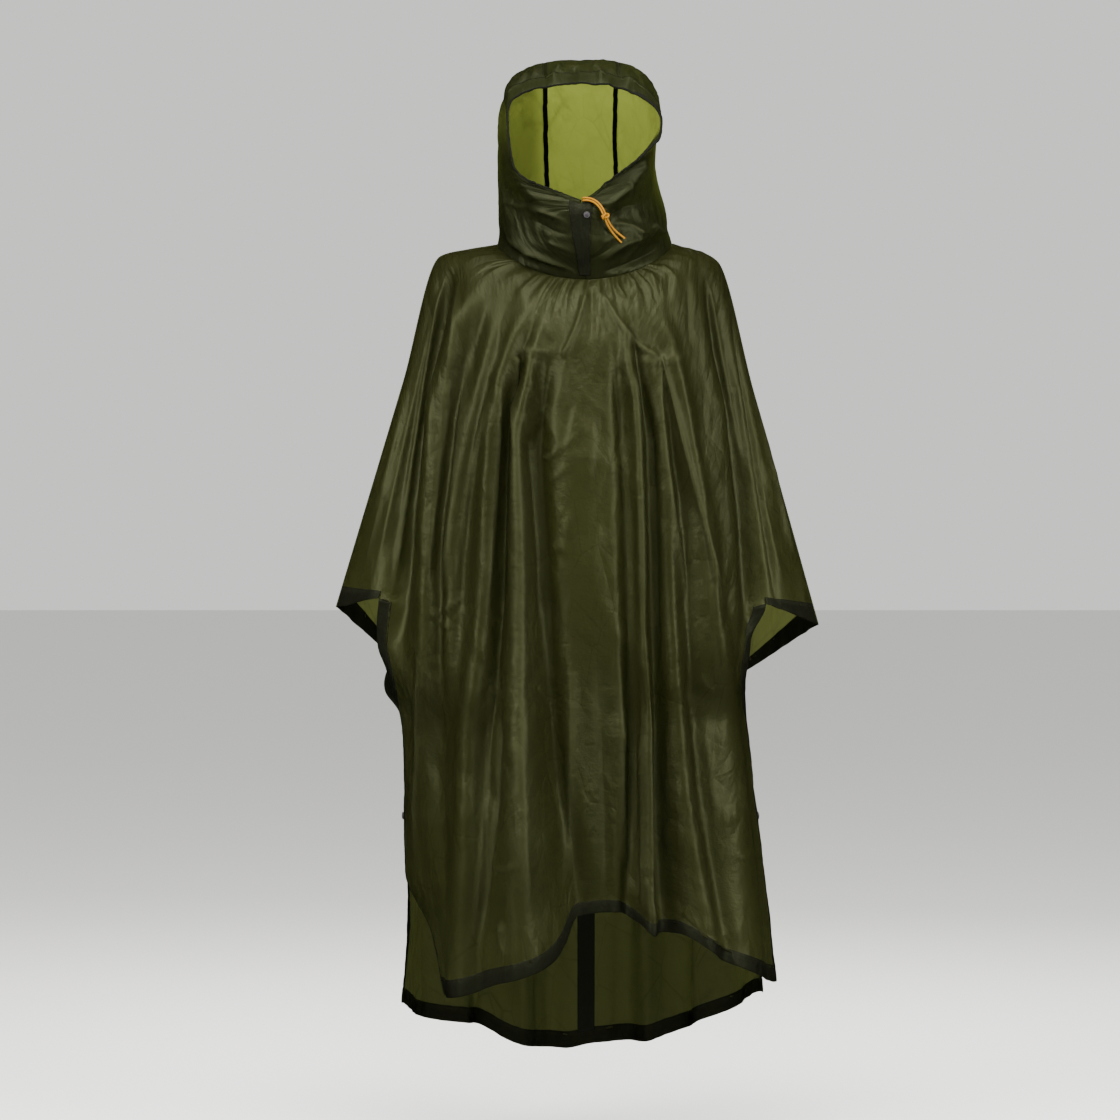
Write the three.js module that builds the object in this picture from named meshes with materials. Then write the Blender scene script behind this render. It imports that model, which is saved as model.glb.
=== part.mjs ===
// Rain poncho of thin coated nylon, worn shape, hollow.
// Millimetres, +Z up, front faces -Y. The origin is the middle of the neck at shoulder level.
import * as THREE from 'three';

// Cloth and trim thicknesses
const CLOTH = 1.2;
const HEM = 1.8;
const TAPE = 1.0;
const CHANNEL = 2.6;
const SEAM_GAP = 0.35;
const HEM_GAP = 0.6;
const CHANNEL_GAP = 0.9;
const PLACKET_GAP = 0.7;

// Widths of the narrow pieces
const HEM_WIDTH = 18;
const CHANNEL_WIDTH = 15;
const PLACKET_TOP_HALF = 21;
const PLACKET_FOOT_HALF = 8;
const HOOD_TAPE_WIDTH = 8;
const BACK_TAPE_WIDTH = 30;
const BACK_TAPE_X = 12;
const HOOD_CENTRE_HALF = 58;
const NECK_LIFT = 1.4;
const TAPE_END = 2;
const PLACKET_TOP_END = 3;
const PLACKET_FOOT_END = 5;
const HOOD_SLIT_HALF = 0.4;
const HOOD_SIDE_LENGTH = 300;
const FACE_EDGE_SHARE = 0.22;

// Shares of a panel's sections, which run from 0 at the neck by 1 at the sleeve tips to 2 at
// the lower edge: the hem strips, where the shoulder seam has left the neck's curve, and where
// the width has become the distance between the side edges
const SLEEVE_HEM_SHARE = 0.03;
const FOOT_HEM_SHARE = 0.035;
const SHOULDER_SECTION = 0.3;
const SIDE_SECTION = 1.3;

// How the folds begin and end: over how many sections, how narrow they are at the neck, and how
// far they flatten beside the seams
const FOLD_BEGINS = 0.3;
const FOLD_ENDS = 0.25;
const FOLD_NECK_SECTION = 0.1;
const FOLD_NECK_SHARE = 0.6;
const FOLD_CALM_FROM = 0.9;
const FOLD_CALM_LOWER = 0.85;
const HEIGHT_POWER = 2.4;
const HOOD_FOLDS_FROM = 0.08;
const HOOD_FOLDS_TO = 0.94;

// Grid counts
const WING_CELLS = 6;
const FRONT_COLUMN_PITCH = 12;
const BACK_COLUMN_PITCH = 18;
const UPPER_ROWS = 12;
const LOWER_ROWS = 12;
const HOOD_SIDE_CELLS = 16;
const HOOD_CENTRE_CELLS = 5;
const HOOD_ROWS = 13;
const RING_SAMPLES = 360;

// Small parts
const STUD_RADIUS = 6;
const PLACKET_STUD_RADIUS = 5;
const PLACKET_STUD_ROW = 3;
const STUD_HEIGHT = 2.4;
const STUD_GAP = 0.5;
const STUD_SIDES = 14;
const STUD_PROFILE = [[0, 0], [1, 0], [1, 0.45], [0.86, 0.8], [0.5, 1], [0, 1]];
const SIDE_STUD_Z = -915;
const CORD_RADIUS = 1.5;
const CORD_STEP = 6;
const CORD_SIDES = 8;
const KNOT_HOLE = 3.5;
const KNOT_TUBE = 1.7;
const KNOT_LENGTHEN = 1.5;
const KNOT_SIDES = 12;

// A table: the names of its columns, then a row of values for each section or fold
const table = (columns, rows) => rows.map(
  (row) => Object.fromEntries(columns.map((name, i) => [name, row[i]])),
);

// Sections of the shoulder and arm line, v from 0 at the neck to 1 at the sleeve tips.
const armLine = table(
  ['v', 'left', 'right', 'seamLeft', 'seamRight'],
  [
    [0.0, -133, 149, 8, 8],
    [0.15, -181, 190, 0, -2],
    [0.3, -225, 222, -11, -19],
    [0.55, -285, 280, -214, -227],
    [0.8, -343, 337, -408, -431],
    [1.0, -394, 386, -578, -607],
  ],
);

// Front panel sections: the lines where the side edges fall, their heights, the middle's
// height and depth, and how square the plan is. sideLeft and sideRight are the edges' depths.
const frontSections = table(
  [
    'v', 'edgeLeft', 'edgeRight', 'riseLeft', 'riseRight', 'middle', 'depth', 'power', 'root',
    'sideLeft', 'sideRight',
  ],
  [
    [0.0, -112, 126, -8, -8, -56, -105, 2, 0.5, 0, 0],
    [0.15, -160, 170, -14, -16, -99, -135, 2, 0.55, 0, 0],
    [0.3, -200, 198, -45, -48, -172, -160, 2.1, 0.6, 0, 0],
    [0.55, -262, 250, -222, -232, -314, -178, 2.1, 0.66, 0, 0],
    [0.8, -298, 280, -404, -418, -471, -188, 2, 0.72, 0, 0],
    [1.0, -322, 300, -563, -572, -627, -196, 2, 0.75, 0, 0],
    [1.1, -326, 279, 0, 0, 0, -199, 2.1, 0.72, -2, -2],
    [1.2, -308, 264, 0, 0, 0, -202, 2.3, 0.66, -4, -4],
    [1.35, -287, 272, 0, 0, 0, -207, 2.4, 0.6, -2, -2],
    [1.7, -283, 297, 0, 0, 0, -220, 2.4, 0.56, -4, -4],
    [1.85, -238, 307, 0, 0, 0, -226, 2.4, 0.56, -66, -20],
    [2.0, -214, 314, 0, 0, 0, -232, 2.4, 0.56, -112, -44],
  ],
);

const backSections = table(
  [
    'v', 'edgeLeft', 'edgeRight', 'riseLeft', 'riseRight', 'middle', 'depth', 'power', 'root',
    'sideLeft', 'sideRight',
  ],
  [
    [0.0, -112, 126, 6, 6, 14, 112, 2, 0.5, 0, 0],
    [0.15, -160, 170, -8, -10, -22, 126, 2, 0.55, 0, 0],
    [0.3, -200, 198, -32, -38, -92, 142, 2.1, 0.6, 0, 0],
    [0.55, -262, 246, -228, -240, -260, 158, 2.1, 0.66, 0, 0],
    [0.8, -292, 262, -440, -462, -452, 170, 2, 0.72, 0, 0],
    [1.0, -309, 267, -661, -692, -660, 184, 2, 0.75, 0, 0],
    [1.08, -322, 262, 0, 0, 0, 188, 2.1, 0.72, 2, 2],
    [1.16, -302, 260, 0, 0, 0, 193, 2.3, 0.66, 4, 4],
    [1.3, -281, 266, 0, 0, 0, 202, 2.4, 0.6, -12, -8],
    [1.7, -277, 286, 0, 0, 0, 236, 2.4, 0.56, 2, -14],
    [2.0, -290, 298, 0, 0, 0, 264, 2.4, 0.56, 40, 20],
  ],
);

// Lower edges: height at each distance across
const frontHemLine = table(
  ['x', 'z'],
  [
    [-214, -1191],
    [-169, -1183],
    [-122, -1161],
    [-74, -1144],
    [-42, -1126],
    [-24, -1100],
    [-6, -1060],
    [62, -1052],
    [92, -1068],
    [108, -1084],
    [152, -1084],
    [199, -1117],
    [248, -1145],
    [314, -1179],
  ],
);

const backHemLine = table(
  ['x', 'z'],
  [
    [-290, -1225],
    [-271, -1249],
    [-226, -1273],
    [-162, -1287],
    [-108, -1320],
    [-29, -1332],
    [24, -1322],
    [114, -1316],
    [164, -1296],
    [212, -1272],
    [298, -1205],
  ],
);

// Folds: how far across the crest or trough runs at four sections, its half width and depth
// at the chest and at the foot, and the sections that it starts and ends at. Positive depth
// stands outwards. Between the neck and the chest the folds fan out with the panel.
const FOLD_SECTIONS = { chest: 0.57, elbow: 0.91, thigh: 1.38, foot: 1.95 };
const frontFolds = table(
  ['name', 'chest', 'elbow', 'thigh', 'foot', 'half', 'halfFoot', 'depth', 'depthFoot', 'start', 'end'],
  [
    ['outer ridge left', -228, -244, -248, -186, 15, 16, 15, 4, 0.16, 1.9],
    ['outer trough left', -202, -222, -222, -180, 11, 12, -12, 0, 0.2, 1.7],
    ['elbow ridge', -172, -205, -206, -172, 12, 14, 12, 6, 0.2, 1.3],
    ['breast ridge left', -138, -150, -166, -164, 17, 36, 20, 44, 0.14, 3],
    ['breast trough left', -116, -122, -142, -146, 10, 12, -18, -12, 0.2, 3],
    ['long ridge left', -94, -97, -96, -84, 15, 42, 20, 58, 0.16, 3],
    ['middle trough left', -68, -54, -42, -6, 15, 27, -20, -38, 0.25, 3],
    ['middle swell', -8, 16, 24, 36, 44, 32, 8, -36, 0.3, 3],
    ['middle trough right', 66, 76, 82, 76, 11, 13, -14, -26, 0.25, 3],
    ['narrow ridge right', 88, 94, 104, 106, 11, 13, 18, 40, 0.16, 3],
    ['narrow trough right', 108, 114, 124, 136, 10, 18, -16, -28, 0.2, 3],
    ['thigh ridge right', 132, 142, 152, 190, 11, 26, 6, 30, 0.3, 3],
    ['thigh trough right', 146, 170, 180, 218, 12, 14, -9, -10, 0.35, 3],
    ['diagonal ridge right', 166, 206, 230, 252, 14, 34, 16, 24, 0.18, 3],
  ],
);
const frontWingFolds = table(
  ['name', 'chest', 'elbow', 'thigh', 'foot', 'half', 'halfFoot', 'depth', 'depthFoot', 'start', 'end'],
  [
    ['wing fold left', -270, -290, -300, -310, 17, 20, -36, -40, 0.22, 1.2],
    ['wing fold right', 256, 276, 284, 290, 17, 20, -32, -34, 0.22, 1.2],
  ],
);

const backFolds = table(
  ['name', 'chest', 'elbow', 'thigh', 'foot', 'half', 'halfFoot', 'depth', 'depthFoot', 'start', 'end'],
  [
    ['blade ridge left', -206, -226, -236, -240, 18, 28, 18, 24, 0.12, 3],
    ['blade trough left', -168, -190, -196, -196, 14, 18, -16, -18, 0.16, 3],
    ['long ridge left', -128, -140, -146, -150, 18, 26, 22, 30, 0.12, 3],
    ['long trough left', -92, -98, -98, -96, 14, 18, -16, -20, 0.2, 3],
    ['spine ridge left', -50, -48, -46, -46, 14, 22, 12, 20, 0.22, 3],
    ['spine ridge right', 66, 68, 72, 76, 16, 22, 14, 20, 0.2, 3],
    ['long trough right', 98, 108, 114, 118, 14, 18, -16, -20, 0.2, 3],
    ['long ridge right', 134, 150, 158, 162, 18, 26, 22, 28, 0.12, 3],
    ['blade trough right', 172, 188, 196, 204, 14, 18, -14, -16, 0.16, 3],
    ['blade ridge right', 204, 216, 230, 244, 18, 26, 16, 22, 0.12, 3],
  ],
);
const backWingFolds = table(
  ['name', 'chest', 'elbow', 'thigh', 'foot', 'half', 'halfFoot', 'depth', 'depthFoot', 'start', 'end'],
  [
    ['wing fold left', -262, -276, -292, -300, 17, 20, -32, -36, 0.22, 1.3],
    ['wing fold right', 246, 252, 262, 270, 16, 20, -28, -32, 0.22, 1.3],
  ],
);

// Hood rings, t from 0 at the face opening to 1 at the neck seam. Each ring is an oval in a
// plane tilted back from upright by tilt, from its foot at the centre front to its far side.
// pointed shapes the foot end, blunt the far end, and bow lifts the sides.
const hoodRings = table(
  [
    't', 'tilt', 'reach', 'halfLeft', 'halfRight', 'footY', 'footZ', 'pointedLeft', 'pointedRight',
    'blunt', 'bow', 'shift',
  ],
  [
    [0.0, 2, 188, 116, 128, -132, 66, 0.42, 0.74, 0.2, 0, 2],
    [0.25, 27, 287, 132, 124, -137, 44, 0.46, 0.5, 0.36, 4, 1],
    [0.5, 50, 322, 133, 121, -134, 17, 0.46, 0.46, 0.38, 6, 1],
    [0.75, 67, 286, 136, 137, -124, -14, 0.46, 0.46, 0.42, 14, 4],
    [1.0, 72.12, 228, 141, 141, -105, -56, 0.5, 0.5, 0.5, 29, 8],
  ],
);

// The face opening's edge: its width to each side at a share of the way from its foot to its top
const faceOutline = table(
  ['share', 'left', 'right'],
  [
    [0.0, 0, 0],
    [0.05, 24, 16],
    [0.1, 49, 28],
    [0.17, 82, 44],
    [0.25, 104, 64],
    [0.34, 110, 88],
    [0.45, 113, 110],
    [0.55, 115, 124],
    [0.65, 116, 128],
    [0.75, 117, 122],
    [0.85, 110, 102],
    [0.92, 82, 76],
    [0.97, 48, 48],
    [1.0, 0, 0],
  ],
);

// Soft folds of the hood and collar: around is the ring's share from the centre front to the
// far side, along its place from the face opening to the neck
const hoodFolds = table(
  ['name', 'side', 'around', 'along', 'spread', 'run', 'depth'],
  [
    ['collar fold left', -1, 0.13, 0.5, 0.1, 0.16, 7],
    ['collar dip left', -1, 0.2, 0.78, 0.12, 0.1, -6],
    ['collar fold right', 1, 0.1, 0.42, 0.08, 0.14, 9],
    ['collar dip right', 1, 0.16, 0.66, 0.12, 0.1, -7],
    ['collar roll left', -1, 0.25, 0.9, 0.2, 0.07, 7],
    ['collar roll right', 1, 0.25, 0.88, 0.2, 0.08, 9],
    ['nape roll left', -1, 0.8, 0.84, 0.2, 0.08, 9],
    ['nape roll right', 1, 0.8, 0.84, 0.2, 0.08, 9],
    ['crown dent left', -1, 0.86, 0.12, 0.12, 0.1, -6],
    ['crown dent right', 1, 0.9, 0.16, 0.1, 0.1, -5],
  ],
);

// The drawcord: its two ends leave the channel side by side, pass the knot and hang free
const cordRoute = [
  [4, -134.6, 68],
  [5.5, -138, 68],
  [10, -139.2, 68],
  [16.5, -139, 67],
  [23, -139, 64],
  [29, -139.6, 59],
  [34, -140, 52],
  [38, -140, 44],
  [41.5, -139, 36],
  [45, -135.5, 28.5],
  [50, -129.5, 21.5],
  [56, -125.5, 15],
  [62, -122.5, 9.5],
  [68, -119, 4.5],
];
const CORD_SPREAD = [2, 1.85, 1.85, 1.85, 1.85, 1.85, 1.85, 1.85, 1.85, 2, 2.4, 3, 3.6, 4.2];
const KNOT_AT = 7.4;

const material = (color, roughness, metalness = 0) =>
  new THREE.MeshStandardMaterial({ color, roughness, metalness, side: THREE.DoubleSide });
const materials = {
  nylon: material(0x3b4022, 0.42),
  hoodNylon: material(0x434a26, 0.42),
  hem: material(0x23251e, 0.6),
  tape: material(0x1b1c16, 0.8),
  channel: material(0x1f211a, 0.55),
  stud: material(0x8a8c88, 0.35, 0.8),
  cord: material(0xd99a1e, 0.7),
};

const group = new THREE.Group();
group.name = 'rain_poncho';

function addPiece(name, geometry, look) {
  const mesh = new THREE.Mesh(geometry, look);
  mesh.name = name;
  group.add(mesh);
  return mesh;
}

// Value of a table's column at a place between its rows, on a smooth curve that stays
// between neighbouring rows
function tableValue(rows, key, column, at) {
  const last = rows.length - 1;
  if (at <= rows[0][key]) return rows[0][column];
  if (at >= rows[last][key]) return rows[last][column];
  let i = 0;
  while (at > rows[i + 1][key]) i += 1;
  const slope = (k) => (rows[k + 1][column] - rows[k][column]) / (rows[k + 1][key] - rows[k][key]);
  const tangent = (k) => {
    if (k === 0) return slope(0);
    if (k === last) return slope(last - 1);
    const before = slope(k - 1);
    const after = slope(k);
    return before * after <= 0 ? 0 : (2 * before * after) / (before + after);
  };
  const span = rows[i + 1][key] - rows[i][key];
  const f = (at - rows[i][key]) / span;
  const a = rows[i][column];
  const b = rows[i + 1][column];
  const rise = f * f * (3 - 2 * f);
  const leave = f * (1 - f) * (1 - f);
  const arrive = f * f * (f - 1);
  return a + (b - a) * rise + span * (tangent(i) * leave + tangent(i + 1) * arrive);
}

const smooth = (x, low, high) => THREE.MathUtils.smoothstep(x, low, high);
const mix = THREE.MathUtils.lerp;
const blend = (from, to, share) => from.clone().lerp(to, share);

// Where one fold runs at a section. Above the chest it keeps its share of the panel's width.
function foldCentre(panel, fold, v) {
  const at = FOLD_SECTIONS;
  if (v < at.chest) {
    const side = (name, place) => tableValue(panel.sections, 'v', name, place);
    const share = (fold.chest - side('edgeLeft', at.chest))
      / (side('edgeRight', at.chest) - side('edgeLeft', at.chest));
    return mix(side('edgeLeft', v), side('edgeRight', v), share);
  }
  const stations = Object.keys(at).map((name) => ({ v: at[name], x: fold[name] }));
  return tableValue(stations, 'v', 'x', v);
}

// The folds of a panel at one section, as centre, half width and depth
function foldsAt(panel, v) {
  const down = smooth(v, FOLD_SECTIONS.chest, FOLD_SECTIONS.foot);
  const widens = smooth(v, FOLD_NECK_SECTION, FOLD_SECTIONS.chest);
  return [...panel.folds, ...panel.wingFolds].map((fold) => {
    const begins = smooth(v, fold.start, fold.start + FOLD_BEGINS);
    const ends = 1 - smooth(v, fold.end - FOLD_ENDS, fold.end);
    return {
      centre: foldCentre(panel, fold, v),
      half: mix(fold.half, fold.halfFoot, down) * mix(FOLD_NECK_SHARE, 1, widens),
      depth: mix(fold.depth, fold.depthFoot, down) * begins * ends,
    };
  });
}

// A point of the neck seam, with across from -1 at the left shoulder to 1 at the right
function neckPoint(across, isFront) {
  const ring = hoodRings[hoodRings.length - 1];
  const tilt = THREE.MathUtils.degToRad(ring.tilt);
  const away = Math.sqrt(Math.max(0, 1 - across * across));
  const share = (1 + (isFront ? -away : away)) / 2;
  return new THREE.Vector3(
    ring.shift + (across < 0 ? ring.halfLeft : ring.halfRight) * across,
    ring.footY + ring.reach * share * Math.sin(tilt),
    ring.footZ + ring.reach * share * Math.cos(tilt) + ring.bow * across * across,
  );
}

const NECK_SEAM_Y = neckPoint(1, true).y;

// Depth of the shoulder seam at a section
const seamDepth = (v) => mix(NECK_SEAM_Y, 0, smooth(v, 0, SHOULDER_SECTION));

// One ring of a body panel: points from the left seam or edge to the right one
function bodyRing(panel, v) {
  const at = (column) => tableValue(panel.sections, 'v', column, v);
  const arm = (column) => tableValue(armLine, 'v', column, v);
  const edgeLeft = at('edgeLeft');
  const edgeRight = at('edgeRight');
  const drawnIn = smooth(v, 1, SIDE_SECTION);
  const left = mix(arm('left'), edgeLeft, drawnIn);
  const right = mix(arm('right'), edgeRight, drawnIn);
  const seamY = seamDepth(v);
  const points = [];
  for (let i = 0; i <= RING_SAMPLES; i += 1) {
    const turn = Math.sin((i / RING_SAMPLES - 0.5) * Math.PI);
    const x = turn < 0 ? -turn * left : turn * right;
    const share = Math.min(1, Math.abs(turn));
    const edgeShare = turn < 0 ? edgeLeft / left : edgeRight / right;
    const side = turn < 0 ? at('sideLeft') : at('sideRight');
    const round = (1 - share ** at('power')) ** at('root');
    const depth = at('depth');
    const y = seamY + side + (depth - seamY - side) * round;
    const z = v <= 1
      ? upperHeight(panel, v, share, edgeShare, turn)
      : lowerHeight(panel, v, (x - edgeLeft) / (edgeRight - edgeLeft));
    points.push({ base: x, turn, point: new THREE.Vector3(x, y, z) });
  }
  return { points, edgeLeft, edgeRight };
}

// Height of a shoulder or chest section, at a share of the way out to the arm seam
function upperHeight(panel, v, share, edgeShare, turn) {
  const at = (column) => tableValue(panel.sections, 'v', column, v);
  const rise = turn < 0 ? at('riseLeft') : at('riseRight');
  const seam = tableValue(armLine, 'v', turn < 0 ? 'seamLeft' : 'seamRight', v);
  if (share > edgeShare) return mix(rise, seam, (share - edgeShare) / (1 - edgeShare));
  return mix(at('middle'), rise, (share / edgeShare) ** HEIGHT_POWER);
}

// Height below the sleeves, at a share of the way across between the side edges
function lowerHeight(panel, v, across) {
  const sleeve = (column) => tableValue(panel.sections, 'v', column, 1);
  const q = THREE.MathUtils.clamp(across, 0, 1);
  const sleeveX = mix(sleeve('edgeLeft'), sleeve('edgeRight'), q);
  const turn = sleeveX < 0 ? -1 : 1;
  const arm = tableValue(armLine, 'v', turn < 0 ? 'left' : 'right', 1);
  const edge = sleeve(turn < 0 ? 'edgeLeft' : 'edgeRight');
  const top = upperHeight(panel, 1, sleeveX / arm, edge / arm, turn);
  const hem = panel.hemLine;
  const hemX = mix(hem[0].x, hem[hem.length - 1].x, q);
  return mix(top, tableValue(hem, 'x', 'z', hemX), v - 1);
}

// Moves a ring's points out by the folds, square to the ring as seen from above
function foldRing(ring, panel, v) {
  const folds = foldsAt(panel, v);
  return ring.points.map((entry, i) => {
    const before = ring.points[Math.max(0, i - 1)].point;
    const after = ring.points[Math.min(RING_SAMPLES, i + 1)].point;
    const out = new THREE.Vector3(after.y - before.y, before.x - after.x, 0).normalize();
    if (!panel.isFront) out.negate();
    const nearSeam = smooth(Math.abs(entry.turn), FOLD_CALM_FROM, 1);
    const calm = 1 - (v > 1 ? FOLD_CALM_LOWER : 1) * nearSeam;
    let depth = 0;
    for (const fold of folds) {
      const offset = (entry.base - fold.centre) / fold.half;
      depth += fold.depth * Math.exp(-offset * offset);
    }
    return { base: entry.base, point: entry.point.clone().addScaledVector(out, depth * calm) };
  });
}

// Places along a polyline, given stations as distances along its base coordinate, with an
// equal number of steps between each pair
function respace(entries, stations) {
  const lengths = [0];
  for (let i = 1; i < entries.length; i += 1) {
    lengths.push(lengths[i - 1] + entries[i].point.distanceTo(entries[i - 1].point));
  }
  const interpolate = (from, to, value) => {
    let i = 1;
    while (i < from.length - 1 && from[i] < value) i += 1;
    const f = THREE.MathUtils.clamp((value - from[i - 1]) / (from[i] - from[i - 1] || 1), 0, 1);
    return { i, f, value: mix(to[i - 1], to[i], f) };
  };
  const bases = entries.map((entry) => entry.base);
  const marks = stations.map((station) => {
    const along = interpolate(bases, lengths, station.base).value;
    return { place: along + (station.offset || 0), cells: station.cells };
  });
  const places = [];
  marks.forEach((mark, k) => {
    if (k === 0) {
      places.push(mark.place);
      return;
    }
    const previous = marks[k - 1].place;
    for (let c = 1; c <= mark.cells; c += 1) places.push(mix(previous, mark.place, c / mark.cells));
  });
  return places.map((place) => {
    const found = interpolate(lengths, lengths, place);
    return entries[found.i - 1].point.clone().lerp(entries[found.i].point, found.f);
  });
}

// A grid of points with its outward normals. facing is 1 where rows run down and columns to
// the right as seen from outside, and -1 where they run the other way
function finishGrid(points, facing) {
  const normals = points.map((row, r) => row.map((point, c) => {
    const above = points[Math.max(0, r - 1)][c];
    const below = points[Math.min(points.length - 1, r + 1)][c];
    const left = row[Math.max(0, c - 1)];
    const right = row[Math.min(row.length - 1, c + 1)];
    const down = below.clone().sub(above);
    const across = right.clone().sub(left);
    return down.cross(across).multiplyScalar(facing).normalize();
  }));
  return { points, normals };
}

// Part of a grid, with its edges drawn in by a gap where they meet a neighbour
function patch(grid, rows, columns, gaps = {}) {
  const [r0, r1] = rows;
  const [c0, c1] = columns;
  const points = [];
  const normals = [];
  for (let r = r0; r <= r1; r += 1) {
    points.push(grid.points[r].slice(c0, c1 + 1).map((point) => point.clone()));
    normals.push(grid.normals[r].slice(c0, c1 + 1));
  }
  const height = points.length - 1;
  const width = points[0].length - 1;
  const draw = (from, to, gap) => {
    if (!gap) return;
    const step = to.clone().sub(from);
    from.addScaledVector(step.normalize(), gap);
  };
  for (let c = 0; c <= width; c += 1) {
    draw(points[0][c], points[1][c], gaps.top);
    draw(points[height][c], points[height - 1][c], gaps.bottom);
  }
  for (let r = 0; r <= height; r += 1) {
    draw(points[r][0], points[r][1], gaps.left);
    draw(points[r][width], points[r][width - 1], gaps.right);
  }
  return { points, normals };
}

// A closed wall on a grid: outer face, inner face and the rim round every open edge.
// offset moves the wall's middle out of the grid's surface.
function wall(grid, thickness, { offset = 0, has = () => true, bounds = null } = {}) {
  const rows = grid.points.length;
  const columns = grid.points[0].length;
  const vertices = [];
  const numbers = new Map();
  const vertex = (r, c, level) => {
    const key = (r * columns + c) * 2 + level;
    if (!numbers.has(key)) {
      numbers.set(key, vertices.length / 3);
      const shift = offset + (level === 1 ? thickness / 2 : -thickness / 2);
      const point = grid.points[r][c].clone().addScaledVector(grid.normals[r][c], shift);
      if (bounds) bounds(point, r, c);
      vertices.push(point.x, point.y, point.z);
    }
    return numbers.get(key);
  };
  const faces = [];
  const quad = (a, b, c, d) => faces.push(a, b, c, a, c, d);
  const filled = (r, c) => r >= 0 && c >= 0 && r < rows - 1 && c < columns - 1 && has(r, c);
  for (let r = 0; r < rows - 1; r += 1) {
    for (let c = 0; c < columns - 1; c += 1) {
      if (!filled(r, c)) continue;
      const corner = [[r, c], [r + 1, c], [r + 1, c + 1], [r, c + 1]];
      const top = corner.map(([i, j]) => vertex(i, j, 1));
      const under = corner.map(([i, j]) => vertex(i, j, 0));
      quad(top[0], top[1], top[2], top[3]);
      quad(under[2], under[1], under[0], under[3]);
      const neighbours = [[r, c - 1], [r + 1, c], [r, c + 1], [r - 1, c]];
      neighbours.forEach(([i, j], k) => {
        if (filled(i, j)) return;
        const next = (k + 1) % 4;
        quad(top[k], under[k], under[next], top[next]);
      });
    }
  }
  const geometry = new THREE.BufferGeometry();
  geometry.setAttribute('position', new THREE.Float32BufferAttribute(vertices, 3));
  geometry.setIndex(faces);
  if (signedVolume(geometry) < 0) {
    for (let i = 0; i < faces.length; i += 3) [faces[i], faces[i + 1]] = [faces[i + 1], faces[i]];
    geometry.setIndex(faces);
  }
  return geometry;
}

function signedVolume(geometry) {
  const position = geometry.getAttribute('position');
  const index = geometry.getIndex();
  const corner = [new THREE.Vector3(), new THREE.Vector3(), new THREE.Vector3()];
  let sum = 0;
  for (let i = 0; i < index.count; i += 3) {
    for (let k = 0; k < 3; k += 1) corner[k].fromBufferAttribute(position, index.getX(i + k));
    sum += corner[0].dot(corner[1].clone().cross(corner[2])) / 6;
  }
  return sum;
}

// The whole grid of a body panel. Rows run from the neck to the lower edge, columns from the
// left arm seam to the right one; below the sleeves only the body's columns are used.
function bodyGrid(panel) {
  const rows = [];
  for (let r = 0; r <= UPPER_ROWS + LOWER_ROWS + 1; r += 1) {
    rows.push(bodyRow(panel, rowPlace(r), r === 0));
  }
  const grid = finishGrid(rows, panel.isFront ? 1 : -1);
  return { ...grid, sleeveRow: UPPER_ROWS, lastRow: rows.length - 1, columns: rows[0].length - 1 };
}

// The section of a grid row: the last one or two rows before the sleeve tips and before the
// lower edge are the hem strips
function rowPlace(r) {
  if (r < UPPER_ROWS) return (r / (UPPER_ROWS - 1)) * (1 - SLEEVE_HEM_SHARE);
  if (r === UPPER_ROWS) return 1;
  const lower = (r - UPPER_ROWS) / LOWER_ROWS;
  return lower <= 1 ? 1 + lower * (1 - FOOT_HEM_SHARE) : 2;
}

// One row of a panel's grid
function bodyRow(panel, v, isNeck) {
  const ring = bodyRing(panel, v);
  let entries = foldRing(ring, panel, v);
  if (isNeck) {
    entries = ring.points.map((entry, i) => {
      const across = Math.sin((i / RING_SAMPLES - 0.5) * Math.PI);
      return { base: entry.base, point: neckPoint(across, panel.isFront) };
    });
  }
  return respace(entries, panelStations(panel, ring, entries, v));
}

// The lines that a panel's columns follow: its seams, edges, tape and the run of each fold
function panelStations(panel, ring, entries, v) {
  const middle = panel.folds.map((fold) => ({
    base: foldCentre(panel, fold, v),
    thigh: fold.thigh,
  }));
  if (panel.tapeX !== undefined) {
    for (const side of [-1, 1]) {
      const thigh = panel.tapeX + (side * BACK_TAPE_WIDTH) / 2;
      middle.push({ base: panel.tapeX, offset: (side * BACK_TAPE_WIDTH) / 2, thigh });
    }
    middle.sort((a, b) => a.thigh - b.thigh);
  }
  const edge = (name) => tableValue(panel.sections, 'v', name, FOLD_SECTIONS.thigh);
  middle.push({ base: ring.edgeRight, offset: -HEM_WIDTH, thigh: edge('edgeRight') - HEM_WIDTH });
  let previous = edge('edgeLeft') + HEM_WIDTH;
  for (const station of middle) {
    station.cells = Math.max(1, Math.round((station.thigh - previous) / panel.columnPitch));
    previous = station.thigh;
  }
  return [
    { base: entries[0].base },
    { base: ring.edgeLeft, cells: WING_CELLS },
    { base: ring.edgeLeft, offset: HEM_WIDTH, cells: 1 },
    ...middle,
    { base: ring.edgeRight, cells: 1 },
    { base: entries[RING_SAMPLES].base, cells: WING_CELLS },
  ];
}

const frontPanel = {
  name: 'front',
  isFront: true,
  sections: frontSections,
  hemLine: frontHemLine,
  folds: frontFolds,
  wingFolds: frontWingFolds,
  columnPitch: FRONT_COLUMN_PITCH,
};
const backPanel = {
  name: 'back',
  isFront: false,
  sections: backSections,
  hemLine: backHemLine,
  folds: backFolds,
  wingFolds: backWingFolds,
  columnPitch: BACK_COLUMN_PITCH,
  tapeX: BACK_TAPE_X,
};

// Keeps the two panels' walls on their own sides of the shoulder seam
function seamKeeper(panel) {
  return (point, r) => {
    if (r > UPPER_ROWS) return;
    const plane = seamDepth(rowPlace(r));
    if (panel.isFront) point.y = Math.min(point.y, plane - SEAM_GAP / 2);
    else point.y = Math.max(point.y, plane + SEAM_GAP / 2);
  };
}

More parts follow.
